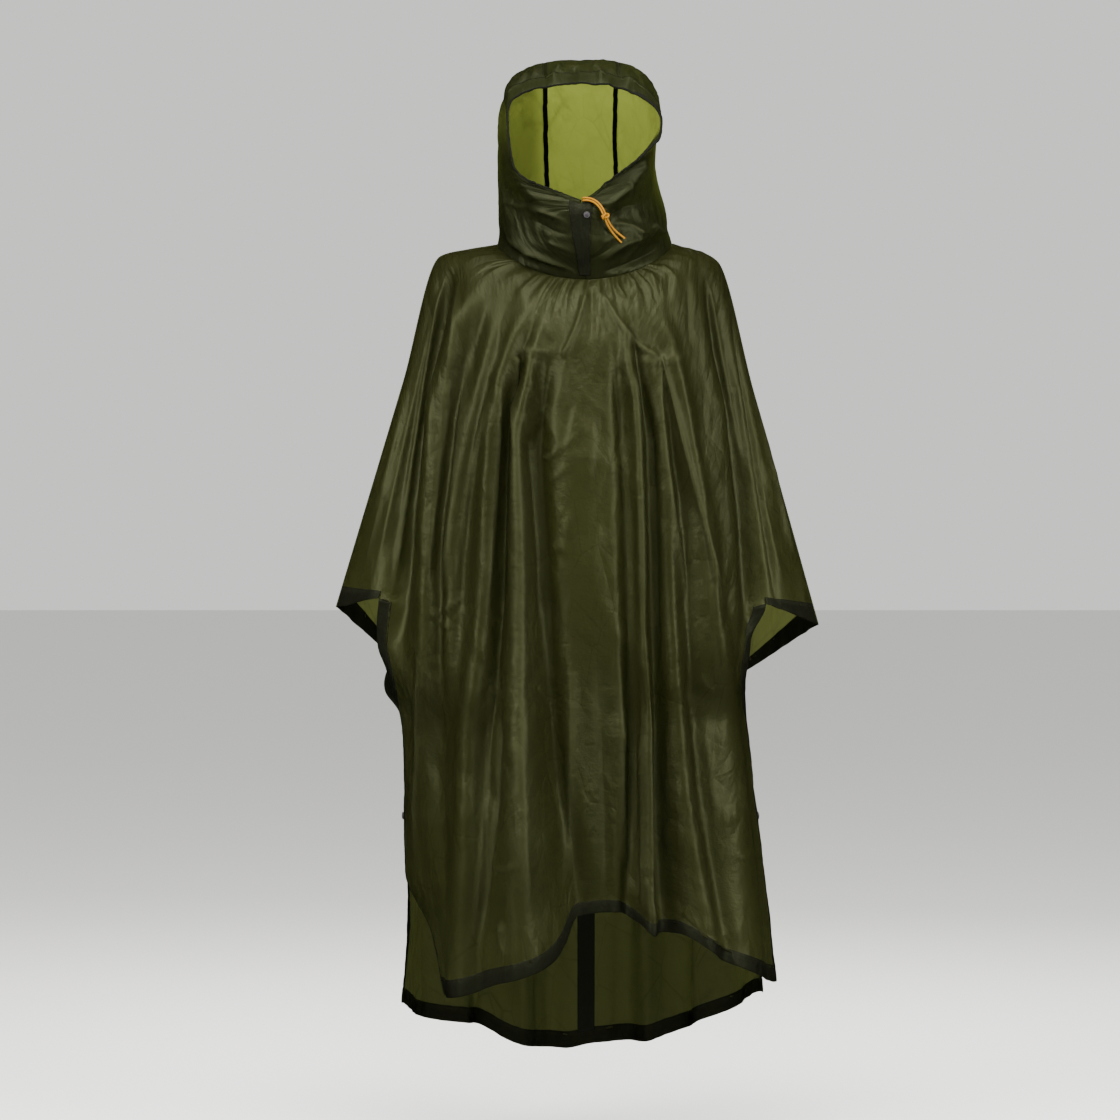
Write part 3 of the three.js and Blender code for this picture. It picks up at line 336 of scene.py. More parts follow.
# Creases as they are seen from the front: a curve through three points in the view's own
# pixels, its half width in pixels, how far it stands out in mm, and how much of its length
# each end fades over.
CREASE_COLUMNS = "x0 y0 x1 y1 x2 y2 half rise fadeIn fadeOut"
FRONT_CREASES = Table(
    CREASE_COLUMNS,
    [
        # left wing and its light line
        [447, 272, 425, 380, 392, 600, 3.0, 5.0, 0.3, 0.1],
        [440, 290, 414, 400, 372, 592, 3.5, 2.5, 0.3, 0.2],
        [404, 395, 386, 480, 360, 585, 2.5, 1.6, 0.3, 0.3],
        [393, 440, 381, 490, 371, 520, 2.0, 1.4, 0.4, 0.4],
        # long ridges of the left breast
        [460, 272, 446, 400, 424, 598, 3.6, 4.2, 0.3, 0.12],
        [479, 300, 462, 430, 440, 612, 3.4, 3.6, 0.3, 0.15],
        [494, 380, 468, 490, 449, 618, 3.0, 3.0, 0.3, 0.15],
        [498, 362, 496, 470, 483, 640, 3.6, 4.0, 0.2, 0.2],
        [517, 356, 516, 440, 521, 700, 4.2, 5.0, 0.06, 0.4],
        [520, 430, 521, 680, 527, 920, 9.0, 5.0, 0.2, 0.2],
        [528, 430, 537, 520, 545, 700, 4.0, -4.5, 0.25, 0.3],
        # drape line under the left breast
        [516, 357, 536, 350, 561, 357, 6.5, 3.0, 0.2, 0.3],
        [561, 357, 575, 330, 588, 286, 3.0, 4.0, 0.1, 0.15],
        [592, 284, 592, 312, 592, 345, 3.0, -2.6, 0.2, 0.4],
        [506, 300, 498, 330, 494, 380, 5.0, -3.0, 0.3, 0.3],
        # centre
        [601, 288, 630, 336, 661, 357, 3.4, 3.6, 0.2, 0.1],
        [614, 281, 621, 292, 629, 303, 2.2, 1.8, 0.2, 0.5],
        [633, 277, 636, 287, 638, 300, 2.2, 1.8, 0.2, 0.5],
        [650, 270, 654, 282, 660, 300, 2.2, 1.8, 0.2, 0.5],
        [661, 264, 669, 271, 679, 280, 2.2, 1.8, 0.2, 0.5],
        [688, 276, 690, 312, 691, 352, 3.6, -2.8, 0.3, 0.2],
        [636, 357, 662, 361, 691, 351, 7.0, 2.6, 0.3, 0.3],
        [539, 458, 556, 452, 580, 430, 2.2, 2.2, 0.2, 0.3],
        [545, 480, 558, 474, 572, 462, 2.0, 1.6, 0.3, 0.3],
        [591, 416, 592, 450, 588, 486, 2.4, 2.6, 0.2, 0.3],
        [570, 508, 567, 526, 562, 541, 2.2, 2.0, 0.3, 0.3],
        [552, 537, 558, 548, 570, 540, 2.4, 1.8, 0.3, 0.3],
        [600, 520, 596, 545, 588, 566, 2.2, 1.4, 0.3, 0.3],
        [575, 395, 566, 430, 560, 470, 3.5, -2.0, 0.3, 0.3],
        # right breast
        [661, 358, 682, 430, 727, 620, 3.8, 5.2, 0.06, 0.15],
        [663, 362, 664, 440, 692, 640, 3.2, 3.2, 0.15, 0.2],
        [633, 368, 640, 470, 644, 700, 3.6, 3.6, 0.2, 0.3],
        [625, 452, 629, 540, 634, 760, 2.2, 2.6, 0.2, 0.3],
        [648, 405, 655, 520, 656, 700, 3.2, -4.0, 0.2, 0.3],
        [675, 380, 700, 500, 716, 640, 5.0, -2.6, 0.2, 0.3],
        [700, 470, 712, 560, 722, 640, 2.4, 1.8, 0.3, 0.3],
        # right wing
        [706, 274, 722, 360, 746, 490, 3.4, 3.6, 0.25, 0.3],
        [729, 290, 752, 440, 779, 615, 3.4, -4.4, 0.25, 0.1],
        [739, 312, 768, 450, 796, 565, 3.0, 3.2, 0.25, 0.2],
        [752, 420, 764, 500, 784, 590, 2.4, 2.0, 0.3, 0.2],
        # lap and foot on the left
        [425, 618, 450, 606, 463, 592, 2.2, 2.2, 0.25, 0.3],
        [431, 612, 441, 622, 452, 629, 2.0, 1.8, 0.3, 0.3],
        [418, 640, 416, 760, 414, 880, 3.0, 2.4, 0.2, 0.3],
        [492, 640, 487, 780, 471, 960, 3.4, 3.4, 0.2, 0.2],
        [500, 700, 494, 820, 476, 960, 4.0, -4.0, 0.2, 0.2],
        [512, 700, 520, 800, 528, 930, 5.0, 3.0, 0.3, 0.2],
        [500, 920, 502, 942, 505, 966, 2.2, 3.6, 0.2, 0.4],
        [540, 940, 536, 955, 531, 968, 2.0, 1.6, 0.3, 0.3],
        [485, 858, 500, 870, 524, 862, 2.2, 1.4, 0.4, 0.4],
        [520, 852, 528, 868, 541, 858, 2.0, 1.4, 0.4, 0.4],
        # middle and right of the lower half
        [570, 640, 572, 760, 566, 900, 5.0, 3.0, 0.3, 0.2],
        [594, 640, 600, 760, 604, 890, 6.0, -3.0, 0.3, 0.2],
        [618, 640, 622, 760, 626, 890, 4.0, 2.6, 0.3, 0.2],
        [643, 700, 643, 800, 645, 920, 3.4, 3.6, 0.3, 0.1],
        [634, 700, 635, 800, 636, 900, 2.6, -3.4, 0.3, 0.1],
        [655, 700, 656, 820, 656, 915, 3.0, -3.2, 0.3, 0.1],
        [671, 700, 668, 820, 673, 920, 3.0, 2.4, 0.3, 0.2],
        [702, 672, 708, 686, 722, 690, 2.4, 1.8, 0.3, 0.4],
        [706, 730, 712, 780, 716, 840, 3.0, 1.6, 0.3, 0.3],
        [738, 850, 742, 858, 746, 850, 2.2, 1.6, 0.3, 0.3],
        [697, 915, 703, 935, 716, 952, 2.2, 2.4, 0.3, 0.2],
        [712, 940, 726, 952, 744, 966, 2.2, 2.0, 0.3, 0.2],
    ],
)
HOOD_CREASES = Table(
    CREASE_COLUMNS,
    [
        # crown and brim
        [559, 64, 552, 76, 530, 92, 3.0, 3.6, 0.2, 0.2],
        [591, 64, 601, 74, 612, 90, 3.0, 3.2, 0.2, 0.2],
        [530, 72, 517, 84, 507, 97, 3.0, 2.4, 0.2, 0.2],
        [622, 74, 636, 86, 646, 98, 3.0, 2.6, 0.2, 0.2],
        [575, 66, 574, 74, 572, 84, 6.0, -2.0, 0.2, 0.2],
        # collar, left of the placket
        [528, 208, 550, 214, 572, 226, 3.4, 3.6, 0.2, 0.2],
        [532, 218, 556, 232, 580, 236, 3.0, -2.8, 0.2, 0.2],
        [502, 198, 520, 206, 540, 205, 2.8, 2.2, 0.3, 0.3],
        [503, 236, 530, 252, 566, 268, 2.8, 3.4, 0.2, 0.2],
        [520, 249, 546, 258, 583, 276, 2.2, 2.6, 0.2, 0.15],
        [500, 180, 506, 200, 510, 230, 3.2, 2.4, 0.3, 0.3],
        [545, 240, 560, 247, 582, 252, 2.6, 2.0, 0.3, 0.3],
        # collar, right of the placket
        [612, 224, 630, 226, 648, 236, 3.2, 3.4, 0.2, 0.2],
        [600, 262, 622, 246, 648, 238, 3.0, 3.0, 0.2, 0.2],
        [604, 272, 632, 262, 662, 246, 2.6, -2.6, 0.2, 0.2],
        [602, 246, 612, 238, 624, 234, 2.4, 2.0, 0.3, 0.3],
        [608, 206, 620, 196, 634, 186, 2.6, 2.4, 0.3, 0.3],
        [618, 212, 630, 206, 644, 206, 2.4, -2.2, 0.3, 0.3],
        [628, 176, 632, 190, 628, 204, 2.4, 2.2, 0.3, 0.3],
        [644, 160, 648, 176, 650, 196, 2.6, 2.0, 0.3, 0.3],
        [652, 222, 660, 230, 668, 234, 3.0, 3.2, 0.2, 0.3],
    ],
)

# The drawcord's middle line, and how far each strand lies from it along the way
CORD_ROUTE = np.array(
    [
        [4, -134.6, 68],
        [5.5, -138, 68],
        [10, -139.2, 68],
        [16.5, -139, 67],
        [23, -139, 64],
        [29, -139.6, 59],
        [34, -140, 52],
        [38, -140, 44],
        [41.5, -139, 36],
        [45, -135.5, 28.5],
        [50, -129.5, 21.5],
        [56, -125.5, 15],
        [62, -122.5, 9.5],
        [68, -119, 4.5],
    ]
)
CORD_SPREAD = np.array([2, 1.85, 1.85, 1.85, 1.85, 1.85, 1.85, 1.85, 1.85, 2, 2.4, 3, 3.6, 4.2])


def linear(colour: str) -> tuple[float, float, float, float]:
    """Turns a hex sRGB colour into a linear one with full cover."""
    channels = [int(colour[i : i + 2], 16) / 255 for i in (1, 3, 5)]
    low = [c / 12.92 if c <= 0.04045 else ((c + 0.055) / 1.055) ** 2.4 for c in channels]
    return (*low, 1.0)


def add_node(
    tree: bpy.types.NodeTree, kind: str, settings: dict | None = None, links: dict | None = None
) -> bpy.types.Node:
    """Adds a node with its settings and links.

    Args:
        tree: the material's node tree.
        kind: the node's type.
        settings: values of inputs by name or number, or of the node's own properties.
        links: output sockets to join to inputs, by the input's name or number.

    Returns:
        The new node.
    """
    node = tree.nodes.new(kind)
    for key, value in (settings or {}).items():
        if isinstance(key, str) and hasattr(node, key):
            setattr(node, key, value)
        else:
            node.inputs[key].default_value = value
    for key, source in (links or {}).items():
        tree.links.new(source, node.inputs[key])
    return node


def new_material(name: str) -> tuple[bpy.types.Material, bpy.types.Node]:
    """An empty material and its output node."""
    material = bpy.data.materials.new(name)
    material.use_nodes = True
    material.node_tree.nodes.clear()
    return material, add_node(material.node_tree, "ShaderNodeOutputMaterial")


@dataclass(frozen=True)
class SheerNylon:
    """Plain-woven nylon with a thin coating: it shines softly and lets a third of light through.

    Worn creases go paler and duller, as the coating crazes there, and the light let through them
    is cut by a quarter as painted shade. Sharp straight creases from packing part the cloth into
    small flat facets, whose lines are painted darker in the light let through, as painted shade.
    The weave is drawn six times too coarse, because real threads at 0.2 mm don't show.
    """

    name: str
    face: str
    worn: str
    glow: str
    sheer_and_painted_glow: float
    gloss: float
    shine: str = "#e6f0b8"
    roughness: float = 0.4
    crinkle: float = 0.45
    facets: float = 0.5
    facet_mm: float = 52.0
    # How far the facet lines dim the light let through: painted shade along the creases.
    line_shade: float = 0.22
    weave_mm: float = 1.2
    patch_mm: float = 140.0
    crinkle_mm: float = 9.0

    def build(self) -> bpy.types.Material:
        """Makes the material on the cloth's own UV map and crease attribute."""
        material, output = new_material(self.name)
        tree = material.node_tree
        cloth = add_node(tree, "ShaderNodeUVMap", {"uv_map": "cloth"}).outputs["UV"]
        patch = add_node(
            tree,
            "ShaderNodeTexNoise",
            {"Scale": 1.0 / (self.patch_mm * MM), "Detail": 3.0},
            {"Vector": cloth},
        )
        shade = add_node(
            tree,
            "ShaderNodeMapRange",
            {"From Min": 0.3, "From Max": 0.7, "To Min": 0.94, "To Max": 1.06},
            {"Value": patch.outputs["Fac"]},
        )
        crinkle = add_node(
            tree,
            "ShaderNodeTexNoise",
            {"Scale": 1.0 / (self.crinkle_mm * MM), "Detail": 4.0, "Roughness": 0.6},
            {"Vector": cloth},
        )
        threads = [
            add_node(
                tree,
                "ShaderNodeTexWave",
                {"Scale": 0.31416 / (self.weave_mm * MM), "bands_direction": side},
                {"Vector": cloth},
            )
            for side in ("X", "Y")
        ]
        weave = add_node(
            tree,
            "ShaderNodeMath",
            {"operation": "MAXIMUM"},
            {0: threads[0].outputs["Fac"], 1: threads[1].outputs["Fac"]},
        )
        weave_bump = add_node(
            tree,
            "ShaderNodeBump",
            {"Strength": 0.25, "Distance": 0.1 * MM},
            {"Height": weave.outputs[0]},
        )
        bump = add_node(
            tree,
            "ShaderNodeBump",
            {"Strength": self.crinkle, "Distance": 2.0 * MM},
            {"Height": crinkle.outputs["Fac"], "Normal": weave_bump.outputs["Normal"]},
        )
        packed = add_node(
            tree,
            "ShaderNodeMapRange",
            {"From Min": 0.4, "From Max": 0.6, "To Min": 0.15, "To Max": 1.0},
            {"Value": patch.outputs["Fac"]},
        )
        askew = add_node(
            tree,
            "ShaderNodeMapping",
            {"Rotation": (0.0, 0.0, 0.35), "Scale": (1.0, 0.55, 1.0)},
            {"Vector": cloth},
        )
        lines = []
        for size, height in ((self.facet_mm, 3.4), (self.facet_mm * 0.4, 0.9)):
            facet = add_node(
                tree,
                "ShaderNodeTexVoronoi",
                {"feature": "DISTANCE_TO_EDGE", "Scale": 1.0 / (size * MM)},
                {"Vector": askew.outputs["Vector"]},
            )
            flat = add_node(
                tree,
                "ShaderNodeMapRange",
                {"From Max": 0.32},
                {"Value": facet.outputs["Distance"]},
            )
            raised = add_node(
                tree,
                "ShaderNodeMath",
                {"operation": "MULTIPLY"},
                {0: flat.outputs["Result"], 1: packed.outputs["Result"]},
            )
            bump = add_node(
                tree,
                "ShaderNodeBump",
                {"Strength": self.facets, "Distance": height * MM},
                {"Height": raised.outputs[0], "Normal": bump.outputs["Normal"]},
            )
            line = add_node(
                tree,
                "ShaderNodeMapRange",
                {"From Max": 1.3 / size, "To Min": 1.0, "To Max": 0.0},
                {"Value": facet.outputs["Distance"]},
            )
            lines.append(line.outputs["Result"])
        # Painted shade: where patches are packed, the light let through is dimmed along the facet lines.
        shaded_lines = add_node(
            tree,
            "ShaderNodeMath",
            {"operation": "MULTIPLY"},
            {0: lines[0], 1: packed.outputs["Result"]},
        )
        line_shade_factor = add_node(
            tree,
            "ShaderNodeMapRange",
            {"To Min": 1.0, "To Max": 1.0 - self.line_shade},
            {"Value": shaded_lines.outputs[0]},
        )
        crease = add_node(tree, "ShaderNodeAttribute", {"attribute_name": "crease"})
        wear = add_node(
            tree,
            "ShaderNodeMath",
            {"operation": "MULTIPLY"},
            {0: crease.outputs["Fac"], 1: crinkle.outputs["Fac"]},
        )
        face = add_node(
            tree,
            "ShaderNodeMix",
            {"data_type": "RGBA", 6: linear(self.face), 7: linear(self.worn)},
            {0: wear.outputs[0]},
        )
        face = add_node(
            tree,
            "ShaderNodeVectorMath",
            {"operation": "SCALE"},
            {0: face.outputs[2], "Scale": shade.outputs["Result"]},
        )
        # This mark scales the light let through, and is painted brighter or darker by place as painted light
        # and shade.
        sheer_and_painted_glow = add_node(tree, "ShaderNodeAttribute", {"attribute_name": "sheer_and_painted_glow"})
        # Painted shade in the creases: the light let through falls to three quarters where the crease mark is
        # full.
        folded = add_node(
            tree,
            "ShaderNodeMapRange",
            {"To Min": 1.0, "To Max": 0.75},
            {"Value": crease.outputs["Fac"]},
        )
        thin = add_node(
            tree,
            "ShaderNodeMath",
            {"operation": "MULTIPLY"},
            {0: folded.outputs["Result"], 1: sheer_and_painted_glow.outputs["Fac"]},
        )
        lit = add_node(
            tree,
            "ShaderNodeMath",
            {"operation": "MULTIPLY"},
            {0: thin.outputs[0], 1: line_shade_factor.outputs["Result"]},
        )
        glow = add_node(
            tree,
            "ShaderNodeVectorMath",
            {"operation": "SCALE", 0: linear(self.glow)[:3]},
            {"Scale": lit.outputs[0]},
        )
        dull = add_node(
            tree,
            "ShaderNodeMapRange",
            {"To Min": self.roughness, "To Max": self.roughness + 0.22},
            {"Value": wear.outputs[0]},
        )
        coated = add_node(
            tree,
            "ShaderNodeBsdfPrincipled",
            {"IOR": 1.5, "Specular IOR Level": self.gloss, "Specular Tint": linear(self.shine)},
            {
                "Base Color": face.outputs[0],
                "Roughness": dull.outputs["Result"],
                "Normal": bump.outputs["Normal"],
            },
        )
        through = add_node(
            tree,
            "ShaderNodeBsdfTranslucent",
            links={"Color": glow.outputs[0], "Normal": bump.outputs["Normal"]},
        )
        both = add_node(
            tree,
            "ShaderNodeMixShader",
            {0: self.sheer_and_painted_glow},
            {1: coated.outputs[0], 2: through.outputs[0]},
        )
        tree.links.new(both.outputs[0], output.inputs["Surface"])
        return material


@dataclass(frozen=True)
class Thread:
    """Woven tape, binding and sewing thread: matt, fuzzy and nearly black, ribbed by its weave."""

    name: str
    colour: str
    lint: str
    rib_mm: float
    fuzz_mm: float = 1.1
    roughness: float = 0.92

    def build(self) -> bpy.types.Material:
        """Makes the material on the piece's own UV map."""
        material, output = new_material(self.name)
        tree = material.node_tree
        cloth = add_node(tree, "ShaderNodeUVMap", {"uv_map": "cloth"}).outputs["UV"]
        fuzz = add_node(
            tree,
            "ShaderNodeTexNoise",
            {"Scale": 1.0 / (self.fuzz_mm * MM), "Detail": 5.0, "Roughness": 0.7},
            {"Vector": cloth},
        )
        ribs = add_node(
            tree,
            "ShaderNodeTexWave",
            {"Scale": 0.31416 / (self.rib_mm * MM), "bands_direction": "Y", "Distortion": 0.6},
            {"Vector": cloth},
        )
        lint = add_node(
            tree,
            "ShaderNodeMapRange",
            {"From Min": 0.5, "From Max": 0.75},
            {"Value": fuzz.outputs["Fac"]},
        )
        colour = add_node(
            tree,
            "ShaderNodeMix",
            {"data_type": "RGBA", 6: linear(self.colour), 7: linear(self.lint)},
            {0: lint.outputs["Result"]},
        )
        fuzz_bump = add_node(
            tree,
            "ShaderNodeBump",
            {"Strength": 0.8, "Distance": 0.5 * MM},
            {"Height": fuzz.outputs["Fac"]},
        )
        bump = add_node(
            tree,
            "ShaderNodeBump",
            {"Strength": 0.5, "Distance": 0.3 * MM},
            {"Height": ribs.outputs["Fac"], "Normal": fuzz_bump.outputs["Normal"]},
        )
        surface = add_node(
            tree,
            "ShaderNodeBsdfPrincipled",
            {"Roughness": self.roughness, "Specular IOR Level": 0.06},
            {"Base Color": colour.outputs[2], "Normal": bump.outputs["Normal"]},
        )
        tree.links.new(surface.outputs[0], output.inputs["Surface"])
        return material


@dataclass(frozen=True)
class BraidedCord:
    """Braided polyester cord: strands laid crosswise round a soft core, bright, and darker in patches down in
    the braid's grooves.
    """

    name: str
    colour: str
    groove_dark: str

    def build(self) -> bpy.types.Material:
        """Makes the material from the cord's braid attribute and place."""
        material, output = new_material(self.name)
        tree = material.node_tree
        place = add_node(tree, "ShaderNodeTexCoord").outputs["Object"]
        dark_patches = add_node(tree, "ShaderNodeTexNoise", {"Scale": 160.0, "Detail": 4.0}, {"Vector": place})
        braid = add_node(tree, "ShaderNodeAttribute", {"attribute_name": "crease"})
        share = add_node(
            tree,
            "ShaderNodeMath",
            {"operation": "MULTIPLY"},
            {0: dark_patches.outputs["Fac"], 1: braid.outputs["Fac"]},
        )
        # The darker colour goes in patches where the braid's grooves lie deepest.
        colour = add_node(
            tree,
            "ShaderNodeMix",
            {"data_type": "RGBA", 6: linear(self.colour), 7: linear(self.groove_dark)},
            {0: share.outputs[0]},
        )
        surface = add_node(
            tree,
            "ShaderNodeBsdfPrincipled",
            {"Roughness": 0.7, "Specular IOR Level": 0.15},
            {"Base Color": colour.outputs[2]},
        )
        tree.links.new(surface.outputs[0], output.inputs["Surface"])
        return material


@dataclass(frozen=True)
class PaintedBrass:
    """A press stud's cap: stamped brass under dull grey paint, rubbed on the rim."""

    name: str
    paint: str
    rubbed: str

    def build(self) -> bpy.types.Material:
        """Makes the material from object coordinates."""
        material, output = new_material(self.name)
        tree = material.node_tree
        place = add_node(tree, "ShaderNodeTexCoord").outputs["Object"]
        scuff = add_node(tree, "ShaderNodeTexNoise", {"Scale": 700.0, "Detail": 4.0}, {"Vector": place})
        rim = add_node(tree, "ShaderNodeAttribute", {"attribute_name": "crease"})
        share = add_node(
            tree,
            "ShaderNodeMath",
            {"operation": "MULTIPLY"},
            {0: scuff.outputs["Fac"], 1: rim.outputs["Fac"]},
        )
        colour = add_node(
            tree,
            "ShaderNodeMix",
            {"data_type": "RGBA", 6: linear(self.paint), 7: linear(self.rubbed)},
            {0: share.outputs[0]},
        )
        bump = add_node(
            tree,
            "ShaderNodeBump",
            {"Strength": 0.2, "Distance": 0.1 * MM},
            {"Height": scuff.outputs["Fac"]},
        )
        surface = add_node(
            tree,
            "ShaderNodeBsdfPrincipled",
            {"Roughness": 0.5, "Specular IOR Level": 0.2},
            {"Base Color": colour.outputs[2], "Normal": bump.outputs["Normal"]},
        )
        tree.links.new(surface.outputs[0], output.inputs["Surface"])
        return material


@dataclass(frozen=True)
class StudioPaint:
    """The floor's matt pale paint."""

    name: str
    colour: str

    def build(self) -> bpy.types.Material:
        """Makes a plain matt material with a very faint unevenness."""
        material, output = new_material(self.name)
        tree = material.node_tree
        place = add_node(tree, "ShaderNodeTexCoord").outputs["Object"]
        cloud = add_node(tree, "ShaderNodeTexNoise", {"Scale": 1.5, "Detail": 2.0}, {"Vector": place})
        dull = add_node(
            tree,
            "ShaderNodeMapRange",
            {"To Min": 0.8, "To Max": 0.95},
            {"Value": cloud.outputs["Fac"]},
        )
        surface = add_node(
            tree,
            "ShaderNodeBsdfPrincipled",
            {"Base Color": linear(self.colour)},
            {"Roughness": dull.outputs["Result"]},
        )
        tree.links.new(surface.outputs[0], output.inputs["Surface"])
        return material


Finish = SheerNylon | Thread | BraidedCord | PaintedBrass | StudioPaint

HOOD_NYLON = SheerNylon(
    "coated_nylon_taffeta_hood", "#17190b", "#2c2e1c", "#c4cd86", sheer_and_painted_glow=0.5, gloss=0.2, facets=0.7, line_shade=0.08
)
BODY_NYLON = SheerNylon(
    "coated_nylon_taffeta_body", "#1a1b0a", "#313320", "#9a9f76", sheer_and_painted_glow=0.35, gloss=0.17
)
CHANNEL_NYLON = SheerNylon(
    "doubled_nylon_channel", "#181b0c", "#2e311e", "#8a9050", sheer_and_painted_glow=0.3, gloss=0.1, crinkle=0.6
)
HEM_NYLON = SheerNylon(
    "turned_nylon_hem", "#10110b", "#22231a", "#4c4e38", sheer_and_painted_glow=0.2, gloss=0.06, crinkle=0.6
)
WOVEN_TAPE = Thread("woven_polyester_tape", "#0b0c07", "#1e2014", 2.2)
BINDING = Thread("cotton_binding", "#0c0d08", "#1b1c15", 1.6, roughness=0.85)
STITCH = Thread("polyester_thread", "#101109", "#26271c", 0.6)
# The second colour is the darker one laid in patches in the braid's grooves.
CORD = BraidedCord("braided_polyester_cord", "#855905", "#4c2f03")
STUD = PaintedBrass("painted_brass_stud", "#242124", "#484547")
FLOOR = StudioPaint("pale_studio_paint", "#e8e8e6")


def dress(piece: bpy.types.Object, finish: Finish, node: str | None = None) -> None:
    """Gives a piece its finish, body and slot, and hides the CAD node that it stands for.

    Args:
        piece: the new piece.
        finish: what it is made of.
        node: the CAD node it replaces, or nothing.
    """
    material = bpy.data.materials.get(finish.name) or finish.build()
    piece.data.materials.append(material)
    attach(piece, BODY)
    if node is not None:
        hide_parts(node)


def interp_rows(x: Array, xp: Array, fp: Array) -> Array:
    """Reads each row of fp at that row's places x.

    Every row is moved along by its own stride, so that one rising line holds all of them.

    Args:
        x: places, rows by columns.
        xp: the rows' own rising places, rows by samples.
        fp: the rows' values, rows by samples.

    Returns:
        Values of the shape of x.
    """
    x = np.clip(x, xp[:, :1], xp[:, -1:])
    stride = (xp.max() - xp.min()) + 1000.0
    shift = np.arange(len(xp))[:, None] * stride
    line = np.interp((x + shift).ravel(), (xp + shift).ravel(), fp.ravel())
    return line.reshape(x.shape)


def row_lengths(points: Array) -> Array:
    """Length along each row of points, from its first one."""
    steps = np.linalg.norm(np.diff(points, axis=1), axis=-1)
    return np.concatenate([np.zeros((len(points), 1)), np.cumsum(steps, axis=1)], axis=1)


def respace(points: Array, base: Array, stations: Array, offsets: Array, cells: Array) -> tuple:
    """Spaces rows of points evenly between stations.

    Args:
        points: rows by samples by 3.
        base: each sample's place along its row's own coordinate, rising.
        stations: the stations' places along that coordinate, rows by stations.
        offsets: how far past each station its column lies, in mm.
        cells: how many cells end at each station after the first.

    Returns:
        The new points, their base coordinates, and their lengths along the row.
    """
    lengths = row_lengths(points)
    marks = interp_rows(stations, base, lengths) + offsets
    share = np.concatenate([np.arange(1, n + 1) / n + k for k, n in enumerate(cells)])
    share = np.concatenate([[0.0], share])
    left = np.minimum(share.astype(int), len(cells) - 1)
    places = mix(marks[:, left], marks[:, left + 1], share - left)
    moved = np.stack([interp_rows(places, lengths, points[..., k]) for k in range(3)], axis=-1)
    return moved, interp_rows(places, lengths, base), places


def grid_normals(points: Array, facing: float) -> Array:
    """Outward normals of a grid: its down step crossed with its across step."""
    down = np.gradient(points, axis=0)
    across = np.gradient(points, axis=1)
    return unit(np.cross(down, across)) * facing


def to_view(points: Array) -> tuple[Array, Array]:
    """Where points are seen from the front, in the view's pixels from its top left corner."""
    scale = VIEW_PITCH * (VIEW_AWAY + points[..., 1]) / VIEW_AWAY
    across = VIEW_HALF + (points[..., 0] - VIEW_X) / scale
    down = VIEW_HALF - (points[..., 2] - VIEW_Z) / scale
    return across, down


CREASE_SHARPER = 0.8
CREASE_HIGHER = 1.7


def crease_field(points: Array, creases: Table) -> tuple[Array, Array]:
    """How far creases push a front surface out, and how sharply it is creased there.

    Each crease is a curve through three points. Its height falls off with the distance d from
    the curve as the exponential of minus (d / half) to the power 1.3, and fades at both ends.

    Args:
        points: grid of points in mm.
        creases: the table of creases.

    Returns:
        Height in mm and a crease share from 0 to 1, each of the grid's shape.
    """
    x, y = to_view(points)
    height = np.zeros_like(x)
    worn = np.zeros_like(x)
    t = np.linspace(0.0, 1.0, 13)
    for row in creases.values:
        x0, y0, x1, y1, x2, y2, half, rise, fade_in, fade_out = row
        line_x = x0 * (1 - t) * (1 - 2 * t) + x1 * 4 * t * (1 - t) + x2 * t * (2 * t - 1)
        line_y = y0 * (1 - t) * (1 - 2 * t) + y1 * 4 * t * (1 - t) + y2 * t * (2 * t - 1)
        reach = 4 * half
        near = (x > line_x.min() - reach) & (x < line_x.max() + reach)
        near &= (y > line_y.min() - reach) & (y < line_y.max() + reach)
        px, py = x[near][:, None], y[near][:, None]
        ax, ay = line_x[:-1], line_y[:-1]
        dx, dy = np.diff(line_x), np.diff(line_y)
        f = np.clip(((px - ax) * dx + (py - ay) * dy) / (dx * dx + dy * dy), 0, 1)
        away = np.hypot(px - ax - f * dx, py - ay - f * dy)
        nearest = away.argmin(axis=1)
        pick = np.arange(len(nearest))
        along = (nearest + f[pick, nearest]) / (len(t) - 1)
        fade = smooth(along, 0.0, fade_in) * (1 - smooth(along, 1 - fade_out, 1.0))
        bump = np.exp(-((away[pick, nearest] / (CREASE_SHARPER * half)) ** 1.3)) * fade
        height[near] += CREASE_HIGHER * rise * bump
        worn[near] = np.maximum(worn[near], bump * min(1.0, abs(rise) / 3.0))
    return height, worn


def noise(x: Array, y: Array, seed: int) -> Array:
    """Smooth noise from about -1 to 1.

    Slopes are drawn at whole-number corners, and their planes are blended by 6 f to the fifth
    less 15 f to the fourth and 10 f cubed.

    Args:
        x: places across, a unit to each bump.
        y: places down.
        seed: which drawing of slopes.

    Returns:
        Noise of the shape of x.
    """
    angle = np.random.default_rng(seed).uniform(0.0, 2 * math.pi, (128, 128))
    xi, yi = np.floor(x).astype(int), np.floor(y).astype(int)
    fx, fy = x - xi, y - yi

    def corner(i: int, j: int) -> Array:
        """The plane that rises from one corner."""
        turn = angle[(xi + i) % 128, (yi + j) % 128]
        return np.cos(turn) * (fx - i) + np.sin(turn) * (fy - j)

    u = fx**3 * (fx * (fx * 6 - 15) + 10)
    w = fy**3 * (fy * (fy * 6 - 15) + 10)
    top = mix(corner(0, 0), corner(1, 0), u)
    return 1.5 * mix(top, mix(corner(0, 1), corner(1, 1), u), w)


